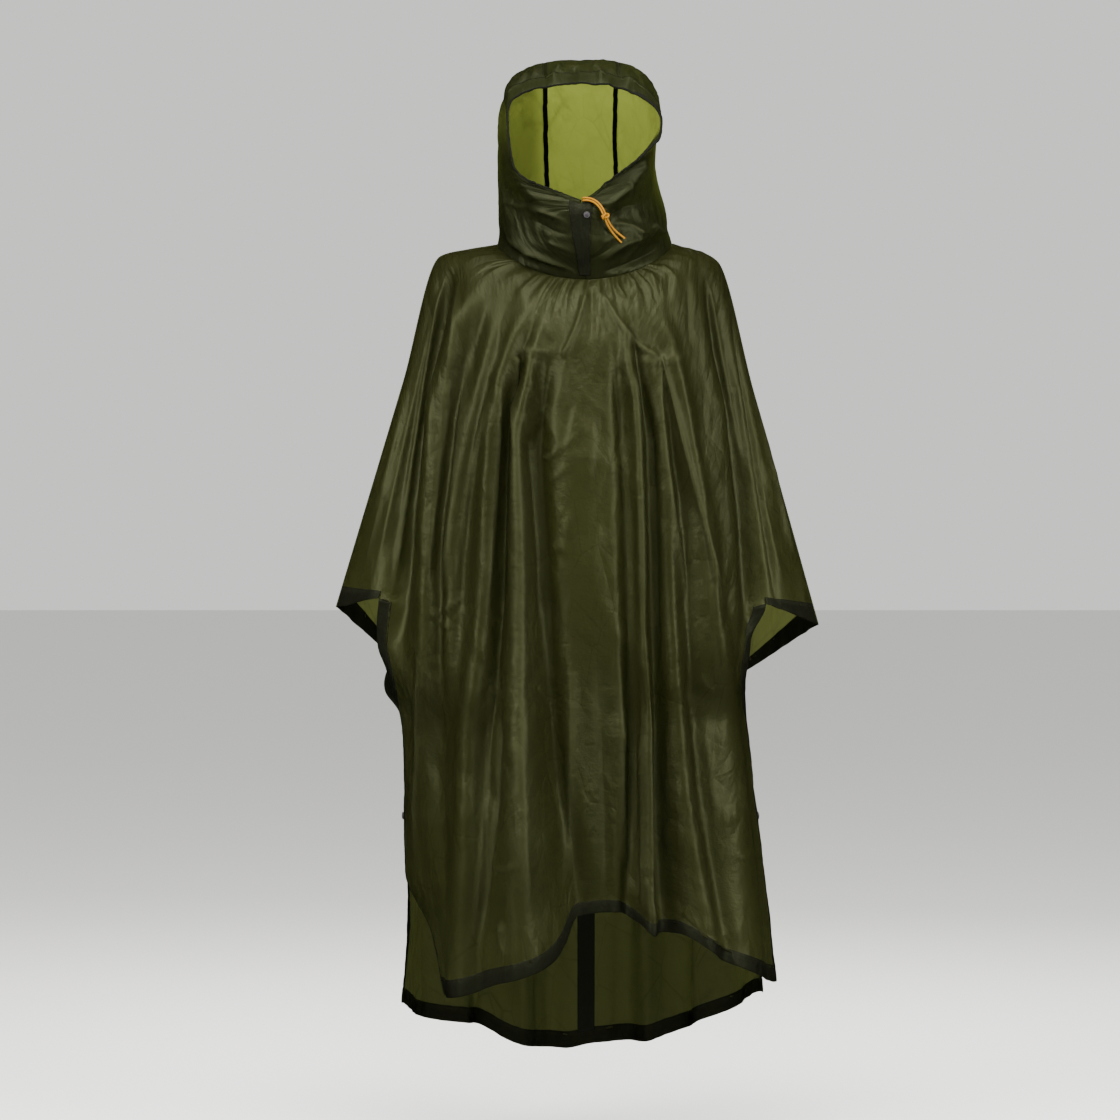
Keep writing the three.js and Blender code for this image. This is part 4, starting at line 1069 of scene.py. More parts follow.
def facets(x: Array, y: Array, seed: int) -> tuple[Array, Array]:
    """Bowls that meet in straight sharp ridges.

    One seed is drawn in each unit square. The height is the square of the distance to the
    nearest seed, and the ridge share the exponential of minus the square of how much farther
    the second one is, over 0.09.

    Args:
        x: places across, a unit to each bowl.
        y: places down.
        seed: which drawing of seeds.

    Returns:
        Height from 0 to about 1, and a ridge share from 0 to 1.
    """
    drawn = np.random.default_rng(seed).uniform(0.1, 0.9, (2, 128, 128))
    xi, yi = np.floor(x).astype(int), np.floor(y).astype(int)
    away = []
    for i in (-1, 0, 1):
        for j in (-1, 0, 1):
            sx, sy = drawn[:, (xi + i) % 128, (yi + j) % 128]
            away.append((xi + i + sx - x) ** 2 + (yi + j + sy - y) ** 2)
    nearest = np.sort(np.stack(away), axis=0)[:2]
    apart = np.sqrt(nearest[1]) - np.sqrt(nearest[0])
    return nearest[0], np.exp(-((apart / 0.09) ** 2))


def crumple(cloth: Array, across: float, down: float, seed: int) -> tuple[Array, Array]:
    """Thin nylon's crumple: soft bowls between straight creases, in two sizes laid askew.

    Slow noise turns ridges into valleys from place to place and bends the whole a little.

    Args:
        cloth: places on the cloth in mm, rows by columns by 2.
        across: width of a bowl in mm.
        down: length of a bowl in mm.
        seed: which drawing of the noise.

    Returns:
        Height from about -0.5 to 0.5, and a crease share from 0 to 1.
    """
    x, y = cloth[..., 0], cloth[..., 1]
    bend = noise(x / 120.0, y / 160.0, seed + 7) * 18.0
    one, one_ridge = facets((x + 0.25 * y + bend) / across, (y - 0.2 * x) / down, seed)
    two, two_ridge = facets((x - 0.4 * y - bend) / across * 1.7, (y + 0.5 * x) / down * 1.7, seed + 3)
    turned = np.clip(2.2 * noise(x / across / 3.0, y / down / 3.0, seed + 9), -1.0, 1.0)
    height = (0.9 * one + 0.4 * two - 0.3) * turned
    return height, np.maximum(one_ridge, 0.6 * two_ridge) * np.abs(turned)


@dataclass
class ClothGrid:
    """A grid of cloth: points, outward normals, and places on the flat cloth, in mm.

    The mark "crease" says how worn it is, and the second mark how much of its light it lets through, painted
    brighter or darker by place as painted light and shade.
    """

    points: Array
    normals: Array
    cloth: Array
    facing: float
    crease: Array
    sheer_and_painted_glow: Array

    def push(self, height: Array) -> None:
        """Moves the grid out along its normals and works the normals out again."""
        self.points = self.points + self.normals * height[..., None]
        self.normals = grid_normals(self.points, self.facing)

    def part(self, rows: slice, columns: slice) -> "ClothGrid":
        """The grid's own rows and columns as a grid."""
        return ClothGrid(
            self.points[rows, columns],
            self.normals[rows, columns],
            self.cloth[rows, columns],
            self.facing,
            self.crease[rows, columns],
            self.sheer_and_painted_glow[rows, columns],
        )


def fill_mesh(mesh: bpy.types.Mesh, points: Array, quads: Array) -> None:
    """Puts points in metres and four-sided faces into a mesh."""
    mesh.vertices.add(len(points))
    mesh.vertices.foreach_set("co", points.astype(np.float32).ravel())
    mesh.loops.add(quads.size)
    mesh.loops.foreach_set("vertex_index", quads.astype(np.int32).ravel())
    mesh.polygons.add(len(quads))
    mesh.polygons.foreach_set("loop_start", np.arange(0, quads.size, 4, dtype=np.int32))
    mesh.polygons.foreach_set("use_smooth", np.ones(len(quads), bool))
    mesh.update(calc_edges=True)


def make_piece(
    name: str,
    points: Array,
    quads: Array,
    cloth: Array,
    crease: Array | float = 0.0,
    sheer_and_painted_glow: Array | float = 1.0,
) -> bpy.types.Object:
    """Makes a piece from a mesh whose pattern follows its cloth.

    Args:
        name: the piece's name.
        points: vertices in mm.
        quads: four vertex numbers a face, outwards.
        cloth: each vertex's place on the cloth in mm, written to the UV map in metres.
        crease: how worn each vertex is, from 0 to 1.
        sheer_and_painted_glow: how much of its light the cloth lets through at each vertex, painted brighter
            or darker by place as painted light and shade.

    Returns:
        The new object, linked and at the origin.
    """
    mesh = bpy.data.meshes.new(name)
    fill_mesh(mesh, points * MM, quads)
    uv = mesh.uv_layers.new(name="cloth")
    uv.data.foreach_set("uv", (cloth * MM)[quads.ravel()].astype(np.float32).ravel())
    for mark, values in (("crease", crease), ("sheer_and_painted_glow", sheer_and_painted_glow)):
        layer = mesh.attributes.new(mark, "FLOAT", "POINT")
        full = np.broadcast_to(values, len(points)).astype(np.float32)
        layer.data.foreach_set("value", full)
    piece = bpy.data.objects.new(name, mesh)
    bpy.context.scene.collection.objects.link(piece)
    return piece


def grid_quads(rows: int, columns: int, has: Array | None, facing: float) -> Array:
    """Faces of a grid, outwards: each cell goes down, across and up again."""
    number = np.arange(rows * columns).reshape(rows, columns)
    cell = np.stack([number[:-1, :-1], number[1:, :-1], number[1:, 1:], number[:-1, 1:]], axis=-1)
    quads = cell[np.ones((rows - 1, columns - 1), bool) if has is None else has]
    return quads if facing > 0 else quads[:, ::-1]


def wall(grid: ClothGrid, thickness: float | Array, has: Array | None = None) -> tuple:
    """A closed wall on a grid: outer faces, inner faces and a rim along every open edge.

    The outer and inner faces are the grid moved half the thickness out and in along its
    normals. An edge that belongs to one cell only gets a rim face.

    Args:
        grid: the middle surface.
        thickness: the wall's thickness in mm, one for all or one for each point.
        has: which cells are there, or nothing for all.

    Returns:
        Vertices, faces, places on the cloth, the crease mark, and the mark of light let through with its
        painted light and shade.
    """
    rows, columns = grid.points.shape[:2]
    quads = grid_quads(rows, columns, has, grid.facing)
    count = rows * columns
    half = np.asarray(thickness, float)[..., None] / 2
    outer = grid.points + grid.normals * half
    inner = grid.points - grid.normals * half
    edges = np.stack([quads, np.roll(quads, -1, axis=1)], axis=-1).reshape(-1, 2)
    key = np.sort(edges, axis=1)
    _, first, times = np.unique(key, axis=0, return_index=True, return_counts=True)
    rim = edges[first[times == 1]]
    rim_quads = np.stack([rim[:, 1], rim[:, 0], rim[:, 0] + count, rim[:, 1] + count], axis=-1)
    faces = np.concatenate([quads, quads[:, ::-1] + count, rim_quads])
    points = np.concatenate([outer.reshape(-1, 3), inner.reshape(-1, 3)])
    cloth = np.tile(grid.cloth.reshape(-1, 2), (2, 1))
    crease = np.tile(grid.crease.reshape(-1), 2)
    sheer_and_painted_glow = np.tile(grid.sheer_and_painted_glow.reshape(-1), 2)
    used, faces = np.unique(faces, return_inverse=True)
    return points[used], faces.reshape(-1, 4), cloth[used], crease[used], sheer_and_painted_glow[used]


def cloth_piece(name: str, grid: ClothGrid, has: Array | None = None) -> bpy.types.Object:
    """A single sheet of the nylon as a closed thin wall."""
    return make_piece(name, *wall(grid, CLOTH, has))


def band_piece(
    name: str, top: Array, foot: Array, out_top: Array, out_foot: Array, thickness: float, seed: int
) -> bpy.types.Object:
    """A turned hem or tape: a flat closed tube between two edge lines.

    Round the section, the share from the top edge to the foot goes as (1 - cos a) / 2 and the
    height as the sine of a to the power 0.35, which gives flat faces and round edges. The band
    is pulled thin along its stitched edge, and waves shortly towards its free one.

    Args:
        name: the piece's name.
        top: points of the stitched edge in mm.
        foot: points of the free edge.
        out_top: outward normals at the stitched edge.
        out_foot: outward normals at the free edge.
        thickness: how thick the band is in mm.
        seed: which drawing of the puckers.

    Returns:
        The new piece.
    """
    around = 18
    turn = (np.arange(around) + 0.5) / around * 2 * math.pi
    share = (1 - np.cos(turn)) / 2
    rise = np.sign(np.sin(turn)) * np.abs(np.sin(turn)) ** 0.35 * thickness / 2
    middle = (top + foot) / 2
    length = np.concatenate([[0.0], np.cumsum(np.linalg.norm(np.diff(middle, axis=0), axis=1))])
    line = top[:, None] * (1 - share[None, :, None]) + foot[:, None] * share[None, :, None]
    out = unit(out_top[:, None] * (1 - share[None, :, None]) + out_foot[:, None] * share[None, :, None])
    stitched = np.exp(-(((share - 0.14) / 0.1) ** 2))
    pucker = 0.5 * noise(length / 8.0, length * 0.0, seed) + noise(length / 25.0, length * 0.0 + 5, seed)
    height = rise * (1 - 0.3 * stitched) + 0.7 * pucker[:, None] * smooth(share, 0.2, 0.7)
    points = line + out * height[..., None]
    rows = len(top)
    number = np.arange(rows * around).reshape(rows, around)
    nxt = np.roll(number, -1, axis=1)
    quads = np.stack([number[:-1], number[1:], nxt[1:], nxt[:-1]], axis=-1).reshape(-1, 4)
    half = around // 2
    lower = np.arange(half - 1)
    caps = []
    for row, turn_round in ((0, False), (rows - 1, True)):
        ring = number[row]
        cap = np.stack(
            [ring[lower], ring[lower + 1], ring[around - 2 - lower], ring[around - 1 - lower]], axis=-1
        )
        caps.append(cap[:, ::-1] if turn_round else cap)
    quads = np.concatenate([quads, *caps])
    flat = points.reshape(-1, 3)
    if shell_volume(flat, quads) < 0:
        quads = quads[:, ::-1]
    width = np.linalg.norm(foot - top, axis=1).mean()
    across = np.where(turn < math.pi, share, 2.0 - share) * width
    cloth = np.stack(np.broadcast_arrays(length[:, None], across[None, :]), axis=-1).reshape(-1, 2)
    crease = np.broadcast_to(stitched[None, :] * 0.4, (rows, around)).reshape(-1)
    return make_piece(name, flat, quads, cloth, crease)


def shell_volume(points: Array, quads: Array) -> float:
    """Volume inside closed faces, as the sum of corner products, negative if inside out."""
    a, b, c, d = (points[quads[:, k]] for k in range(4))
    first = np.einsum("ij,ij->i", a, np.cross(b, c)).sum()
    return float(first + np.einsum("ij,ij->i", a, np.cross(c, d)).sum()) / 6.0


def neck_point(across: Array, is_front: bool) -> Array:
    """Points of the neck seam, an oval in a tilted plane, from the left shoulder to the right."""
    ring = {name: float(HOOD_RINGS.column(name)[-1]) for name in HOOD_RINGS.names}
    tilt = math.radians(ring["tilt"])
    away = np.sqrt(np.maximum(0.0, 1.0 - across * across))
    share = (1 + (-away if is_front else away)) / 2
    half = np.where(across < 0, ring["halfLeft"], ring["halfRight"])
    return np.stack(
        [
            ring["shift"] + half * across,
            ring["footY"] + ring["reach"] * share * math.sin(tilt),
            ring["footZ"] + ring["reach"] * share * math.cos(tilt) + ring["bow"] * across * across,
        ],
        axis=-1,
    )


NECK_SEAM_Y = float(neck_point(np.array(1.0), True)[1])


@dataclass
class BodyPanel:
    """The front or back panel with its hems: one sheet from the neck to the lower edge."""

    name: str
    is_front: bool
    sections: Table
    hem_line: Table
    folds: Table
    wing_folds: int
    column_pitch: float
    wing_cells: int
    upper_rows: int
    lower_rows: int
    hem_rows: int = 4
    hem_cells: int = 5
    turn_cells: int = 22
    tape_x: float | None = None
    seed: int = 1
    grid: ClothGrid = field(init=False)
    rows: Array = field(init=False)
    tape_columns: tuple[int, int] = field(init=False, default=(0, 0))

    def __post_init__(self) -> None:
        """Works out the rows and the whole grid."""
        self.rows = np.concatenate(
            [
                np.linspace(0, SLEEVE_HEM, self.upper_rows)[:-1],
                np.linspace(SLEEVE_HEM, 1, self.hem_rows)[:-1],
                np.linspace(1, FOOT_HEM, self.lower_rows)[:-1],
                np.linspace(FOOT_HEM, 2, self.hem_rows),
            ]
        )
        self.grid = self.make_grid()

    @property
    def sleeve_row(self) -> int:
        """The row of the sleeve tips."""
        return self.upper_rows + self.hem_rows - 2

    @property
    def hem_row(self) -> int:
        """The row where the lower hem starts."""
        return len(self.rows) - self.hem_rows

    def fold_centres(self, v: Array) -> Array:
        """Where each fold runs: its share of the width above the chest, its stations below."""
        at = np.array(FOLD_STATIONS)
        left, right = self.sections.at("edgeLeft", v), self.sections.at("edgeRight", v)
        left_at, right_at = self.sections.at("edgeLeft", at[0]), self.sections.at("edgeRight", at[0])
        centres = []
        for stations in self.folds.values[:, :4]:
            share = (stations[0] - left_at) / (right_at - left_at)
            low = hermite(at, stations, v)
            centres.append(np.where(v < at[0], mix(left, right, share), low))
        return np.stack(centres, axis=-1)

    def fold_depths(self, v: Array) -> tuple[Array, Array]:
        """Half width and depth of each fold at each section."""
        down = smooth(v, FOLD_STATIONS[0], FOLD_STATIONS[3])[:, None]
        narrow = mix(0.6, 1.0, smooth(v, 0.1, FOLD_STATIONS[0]))[:, None]
        column = self.folds.column
        half = mix(column("half"), column("halfFoot"), down) * narrow
        start, end = column("start"), column("end")
        begins = np.clip((v[:, None] - start) / 0.3, 0, 1)
        ends = np.clip((v[:, None] - end + 0.25) / 0.25, 0, 1)
        begins = begins**2 * (3 - 2 * begins)
        ends = 1 - ends**2 * (3 - 2 * ends)
        return half, mix(column("depth"), column("depthFoot"), down) * begins * ends

    def upper_height(self, v: Array, share: Array, edge_share: Array, turn: Array) -> Array:
        """Height above the sleeve tips.

        From the middle to the side edge it goes with the share of the way to the power 2.4, and
        from there to the arm seam in a straight line.
        """
        right = turn >= 0
        rise = np.where(right, self.sections.at("riseRight", v), self.sections.at("riseLeft", v))
        seam = np.where(right, ARM_LINE.at("seamRight", v), ARM_LINE.at("seamLeft", v))
        inside = mix(self.sections.at("middle", v), rise, (share / edge_share) ** 2.4)
        outside = mix(rise, seam, (share - edge_share) / np.maximum(1 - edge_share, 1e-9))
        return np.where(share > edge_share, outside, inside)

    def lower_height(self, v: Array, across: Array) -> Array:
        """Height below the sleeve tips: between that row's height and the lower edge's."""
        q = np.clip(across, 0, 1)
        one = np.ones_like(q)
        left, right = self.sections.at("edgeLeft", 1), self.sections.at("edgeRight", 1)
        x = mix(left, right, q)
        arm = np.where(x < 0, ARM_LINE.at("left", 1), ARM_LINE.at("right", 1))
        edge = np.where(x < 0, left, right)
        top = self.upper_height(one, x / arm, edge / arm, x)
        hem_x = self.hem_line.column("x")
        foot = self.hem_line.at("z", mix(hem_x[0], hem_x[-1], q))
        return mix(top, foot, v - 1)

    def rings(self, v: Array) -> tuple[Array, Array, Array]:
        """The plain rings of all sections, before their folds.

        Across, x goes with the sine of the sample's place. The depth is that of the section
        times (1 - share to the power p) to the power q.

        Args:
            v: sections, as a column.

        Returns:
            Points, base coordinate, and the turn from -1 to 1, rows by samples.
        """
        turn = np.sin((np.arange(RING_SAMPLES + 1) / RING_SAMPLES - 0.5) * math.pi)[None, :]
        at = self.sections.at
        edge_left, edge_right = at("edgeLeft", v), at("edgeRight", v)
        drawn_in = smooth(v, 1, SIDE_SECTION)
        left = mix(ARM_LINE.at("left", v), edge_left, drawn_in)
        right = mix(ARM_LINE.at("right", v), edge_right, drawn_in)
        seam_y = mix(NECK_SEAM_Y, 0.0, smooth(v, 0, SHOULDER_SECTION))
        x = np.where(turn < 0, -turn * left, turn * right)
        share = np.abs(turn) + 0 * v
        edge_share = np.where(turn < 0, edge_left / left, edge_right / right)
        side = np.where(turn < 0, at("sideLeft", v), at("sideRight", v))
        round_off = (1 - share ** at("power", v)) ** at("root", v)
        y = seam_y + side + (at("depth", v) - seam_y - side) * round_off
        upper = self.upper_height(v + 0 * turn, share, edge_share, turn + 0 * v)
        lower = self.lower_height(v + 0 * turn, (x - edge_left) / (edge_right - edge_left))
        z = np.where(v <= 1, upper, lower)
        return np.stack([x, y, z], axis=-1), x, turn + 0 * v

    def folded(self, v: Array) -> tuple[Array, Array]:
        """The rings pushed out by their folds, square to each ring as seen from above.

        A fold stands out by its depth times the exponential of minus the square of the
        distance from its centre over its half width. Beside the seams the folds flatten.
        """
        points, base, turn = self.rings(v[:, None])
        step = np.empty_like(points[..., :2])
        step[:, 1:-1] = points[:, 2:, :2] - points[:, :-2, :2]
        step[:, 0] = points[:, 1, :2] - points[:, 0, :2]
        step[:, -1] = points[:, -1, :2] - points[:, -2, :2]
        out = unit(np.stack([step[..., 1], -step[..., 0]], axis=-1))
        if not self.is_front:
            out = -out
        centres = self.fold_centres(v)
        half, depth = self.fold_depths(v)
        total = np.zeros_like(base)
        for k in range(centres.shape[1]):
            offset = (base - centres[:, k, None]) / half[:, k, None]
            total += depth[:, k, None] * np.exp(-offset * offset)
        calm = 1 - np.where(v > 1, 0.85, 1.0)[:, None] * smooth(np.abs(turn), 0.9, 1)
        points[..., :2] += out * (total * calm)[..., None]
        return points, base

    def make_grid(self) -> ClothGrid:
        """The panel's grid, with columns along every fold, seam and edge."""
        v = self.rows
        points, base = self.folded(v)
        across = np.sin((np.arange(RING_SAMPLES + 1) / RING_SAMPLES - 0.5) * math.pi)
        neck = neck_point(across, self.is_front)[None]
        share = np.clip(v / NECK_SECTION, 0, 1)[:, None, None]
        points = mix(neck, points, share)
        stations, offsets, cells = self.stations(v, base)
        moved, base, places = respace(points, base, stations, offsets, cells)
        self.ease_sleeve_line(moved)
        facing = 1.0 if self.is_front else -1.0
        middle = interp_rows(np.zeros((len(v), 1)), base, places)
        down = np.concatenate(
            [[0.0], np.cumsum(np.linalg.norm(np.diff(moved, axis=0), axis=-1).mean(axis=1))]
        )
        cloth = np.stack([places - middle, np.broadcast_to(-down[:, None], places.shape)], axis=-1)
        normals = grid_normals(moved, facing)
        grid = ClothGrid(moved, normals, cloth, facing, np.zeros(places.shape), self.sheer_and_painted_glow(moved))
        self.wrinkle(grid, v)
        self.keep_sides(grid, v)
        return grid

    def ease_sleeve_line(self, points: Array) -> None:
        """Rounds off the bend that the sections make at the sleeve tips, away from the sides.

        Each point moves towards the mean of itself and the points above and below it, again and
        again, so that the bend spreads over about 60 mm.
        """
        columns = points.shape[1]
        first = self.wing_cells + self.hem_cells
        inside = np.minimum(np.arange(columns) - first, columns - 1 - first - np.arange(columns))
        weight = smooth(inside, 1, 14)[None, :] * np.exp(-(((self.rows - 1.0) / 0.11) ** 2))[:, None]
        for _ in range(90):
            mean = (points[:-2] + 2 * points[1:-1] + points[2:]) / 4
            points[1:-1] += (mean - points[1:-1]) * weight[1:-1, :, None]

    def sheer_and_painted_glow(self, points: Array) -> Array:
        """How much light the panel lets through, painted by place as painted light: more in the wings, and at
        the belly in front.
        """
        # Painted light: the same cloth is made to let more light through in the wings and at the front's
        # belly.
        wing = smooth(np.abs(points[..., 0] - 0.5 * BACK_TAPE_X), 235.0, 300.0)
        wing *= smooth(points[..., 2], -800.0, -640.0)
        belly = np.exp(-(((points[..., 0] - 20) / 80) ** 2) - ((points[..., 2] + 420) / 190) ** 2)
        return 1.0 + (0.4 if self.is_front else 0.7) * wing + (0.85 if self.is_front else 0.0) * belly

    def stations(self, v: Array, base: Array) -> tuple[Array, Array, Array]:
        """The lines that the columns follow, how far past them, and the cells between them."""
        edge_left, edge_right = self.sections.at("edgeLeft", v), self.sections.at("edgeRight", v)
        own = self.folds.values[: len(self.folds.values) - self.wing_folds]
        centres = self.fold_centres(v)[:, : len(own)]
        thigh = list(own[:, 2])
        lines = [centres[:, k] for k in range(len(own))]
        offsets = [0.0] * len(own)
        if self.tape_x is not None:
            for side in (-0.5, 0.5):
                k = int(np.searchsorted(thigh, self.tape_x + side * BACK_TAPE_WIDTH))
                thigh.insert(k, self.tape_x + side * BACK_TAPE_WIDTH)
                lines.insert(k, np.full(len(v), self.tape_x))
                offsets.insert(k, side * BACK_TAPE_WIDTH)
        section = FOLD_STATIONS[2]
        thigh.append(float(self.sections.at("edgeRight", section)) - HEM_WIDTH)
        lines.append(edge_right)
        offsets.append(-HEM_WIDTH)
        first = float(self.sections.at("edgeLeft", section)) + HEM_WIDTH
        gaps = np.diff([first, *thigh])
        middle_cells = np.maximum(1, np.round(gaps / self.column_pitch)).astype(int)
        middle_cells[[0, -1]] += self.turn_cells
        if self.tape_x is not None:
            k = thigh.index(self.tape_x - 0.5 * BACK_TAPE_WIDTH)
            start = self.wing_cells + self.hem_cells + int(middle_cells[: k + 1].sum())
            self.tape_columns = (start, start + int(middle_cells[k + 1]))
        all_lines = [base[:, 0], edge_left, edge_left, *lines, edge_right, base[:, -1]]
        all_offsets = [0.0, 0.0, HEM_WIDTH, *offsets, 0.0, 0.0]
        cells = [self.wing_cells, self.hem_cells, *middle_cells, self.hem_cells, self.wing_cells]
        return np.stack(all_lines, axis=-1), np.array(all_offsets), np.array(cells)

    def wrinkle(self, grid: ClothGrid, v: Array) -> None:
        """Adds gathers at the neck, creases, crumple, and puckers along seams and hems."""
        cloth = grid.cloth
        columns = cloth.shape[1]
        share = np.linspace(-1, 1, columns)[None, :]
        gather = noise(share * 16.0 + 0.4 * v[:, None], v[:, None] * 2.0 + 0 * share, self.seed)
        gather += 0.5 * noise(share * 34.0, v[:, None] * 3.0 + 0 * share, self.seed + 1)
        near_neck = np.exp(-((v / 0.16) ** 2)) * smooth(v, 0.0, 0.03)
        height = 3.0 * gather * near_neck[:, None]
        if self.is_front:
            creased, worn = crease_field(grid.points, FRONT_CREASES)
            height += creased
            grid.crease = np.maximum(grid.crease, worn)
        else:
            long_waves = noise(cloth[..., 0] / 21.0, cloth[..., 1] / 420.0, self.seed + 11)
            height += 2.6 * long_waves * smooth(v, 0.15, 0.4)[:, None]
        broad, broad_sharp = crumple(cloth, 60.0, 170.0, self.seed + 20)
        fine, fine_sharp = crumple(cloth, 24.0, 42.0, self.seed + 40)
        patch = smooth(noise(cloth[..., 0] / 110.0, cloth[..., 1] / 150.0, self.seed + 60), -0.1, 0.6)
        fine_size = mix(0.8, 3.0, patch)
        height += 6.5 * broad + fine_size * fine
        worn = 0.4 * broad_sharp + 0.5 * fine_sharp * patch
        grid.crease = np.maximum(grid.crease, worn * smooth(v, 0.02, 0.1)[:, None])
        if self.tape_x is not None:
            height = height * (0.12 + 0.88 * smooth(self.past_tape(columns), 0.0, 34.0))
        grid.push(height * self.calm(v, columns))
        self.pucker(grid, v)

    def past_tape(self, columns: int) -> Array:
        """How far each column lies past the tape's edges, in mm."""
        index = np.arange(columns)[None, :]
        away = np.maximum(self.tape_columns[0] - index, index - self.tape_columns[1])
        return np.maximum(away, 0) * self.column_pitch

    def calm(self, v: Array, columns: int) -> Array:
        """Flattens wrinkles towards the neck seam and the arm seams."""
        edge = np.minimum(np.arange(columns), np.arange(columns)[::-1])[None, :]
        return smooth(edge, 0, 5) * smooth(v, 0.0, 0.012)[:, None]

    def pucker(self, grid: ClothGrid, v: Array) -> None:
        """Short waves where hems, seams and the back tape are sewn.

        Each wave dies away from its seam as the exponential of the distance over 9 mm.
        """
        columns = grid.points.shape[1]
        index = np.arange(columns)[None, :]
        pitch = 4.5
        left, right = self.wing_cells + self.hem_cells, columns - 1 - self.wing_cells - self.hem_cells
        side = np.minimum(np.abs(index - left), np.abs(index - right)) * pitch
        below = (v > 1.0)[:, None]
        height = np.where(below, np.exp(-side / 9.0), 0.0) * noise(
            grid.cloth[..., 1] / 8.0, side / 40.0 + 0 * grid.cloth[..., 1], self.seed + 80
        )
        foot = (FOOT_HEM - v)[:, None] * 560.0
        height += np.where(foot >= 0, np.exp(-np.abs(foot) / 11.0), 0.0) * noise(
            grid.cloth[..., 0] / 8.5, foot / 60.0 + 0 * grid.cloth[..., 0], self.seed + 81
        )
        if self.tape_x is not None:
            away = self.past_tape(columns)
            beside = np.exp(-away / 16.0) * smooth(away, 0.0, 7.0)
            height += 3.0 * beside * noise(
                grid.cloth[..., 1] / 11.0 + away / 30.0, away / 90.0 + 0 * grid.cloth[..., 1], self.seed + 82
            )
        grid.push(1.1 * height * self.calm(v, columns))

    def keep_sides(self, grid: ClothGrid, v: Array) -> None:
        """Keeps the two panels on their own sides of the shoulder and arm seams."""
        seam = mix(NECK_SEAM_Y, 0.0, smooth(v, 0, SHOULDER_SECTION))[:, None]
        upper = (v <= 1.0)[:, None]
        y = grid.points[..., 1]
        room = CLOTH / 2 + 0.1
        kept = np.minimum(y, seam - room) if self.is_front else np.maximum(y, seam + room)
        grid.points[..., 1] = np.where(upper, kept, y)

    def cell_mask(self) -> Array:
        """The cells of the sheet itself: not the hems, and no wings below the sleeves."""
        rows, columns = self.grid.points.shape[:2]
        r = np.arange(rows - 1)[:, None]
        c = np.arange(columns - 1)[None, :]
        left, right = self.wing_cells, columns - 1 - self.wing_cells
        sleeve_start = self.sleeve_row - self.hem_rows + 1
        has = (r < self.hem_row) & (c >= 0)
        body = (c >= left) & (c < right)
        inner = (c >= left + self.hem_cells) & (c < right - self.hem_cells)
        has &= (r < sleeve_start) | body
        return has & ((r < self.sleeve_row) | inner)

    def build(self) -> list[bpy.types.Object]:
        """Makes the sheet and its hems, each standing for its own solid."""
        grid = self.grid
        name = self.name
        sheet = cloth_piece(f"{name}_sheet", grid, self.cell_mask())
        dress(sheet, BODY_NYLON, f"{name}_panel")
        last = grid.points.shape[1] - 1
        left, right = self.wing_cells, last - self.wing_cells
        sleeve, foot = self.sleeve_row, self.hem_row
        start = sleeve - self.hem_rows + 1
        hems = []
        lap = 1
        for side, columns in (("left", slice(0, left + 1)), ("right", slice(right, last + 1))):
            hems.append(self.band(f"sleeve_hem_{side}", (start - lap, columns), (sleeve, columns)))
        inner_left, inner_right = left + self.hem_cells, right - self.hem_cells
        rows = slice(sleeve, foot + 1)
        hems.append(self.band("side_hem_left", (rows, inner_left + lap), (rows, left)))
        hems.append(self.band("side_hem_right", (rows, inner_right - lap), (rows, right)))
        body = slice(left, right + 1)
        hems.append(self.band("hem", (foot - lap, body), (len(self.rows) - 1, body)))
        return [sheet, *hems]

    def band(self, part: str, top: tuple, foot: tuple) -> bpy.types.Object:
        """A turned hem between two lines of the panel's grid."""
        points, normals = self.grid.points, self.grid.normals
        piece = band_piece(
            f"{self.name}_{part}_band",
            points[top],
            points[foot],
            normals[top],
            normals[foot],
            HEM_THICK,
            self.seed + len(part),
        )
        dress(piece, HEM_NYLON, f"{self.name}_{part}")
        return piece

    def build_tape(self) -> bpy.types.Object:
        """The woven tape down the inside of the middle of the back."""
        first, last = self.tape_columns
        rows = slice(2, len(self.rows) - 3)
        normals = self.grid.normals
        points = self.grid.points - normals * (CLOTH / 2 + 0.25 + TAPE_THICK / 2)
        piece = band_piece(
            "back_tape_band",
            points[rows, first],
            points[rows, last],
            normals[rows, first],
            normals[rows, last],
            TAPE_THICK,
            self.seed + 90,
        )
        dress(piece, WOVEN_TAPE, "back_tape")
        return piece


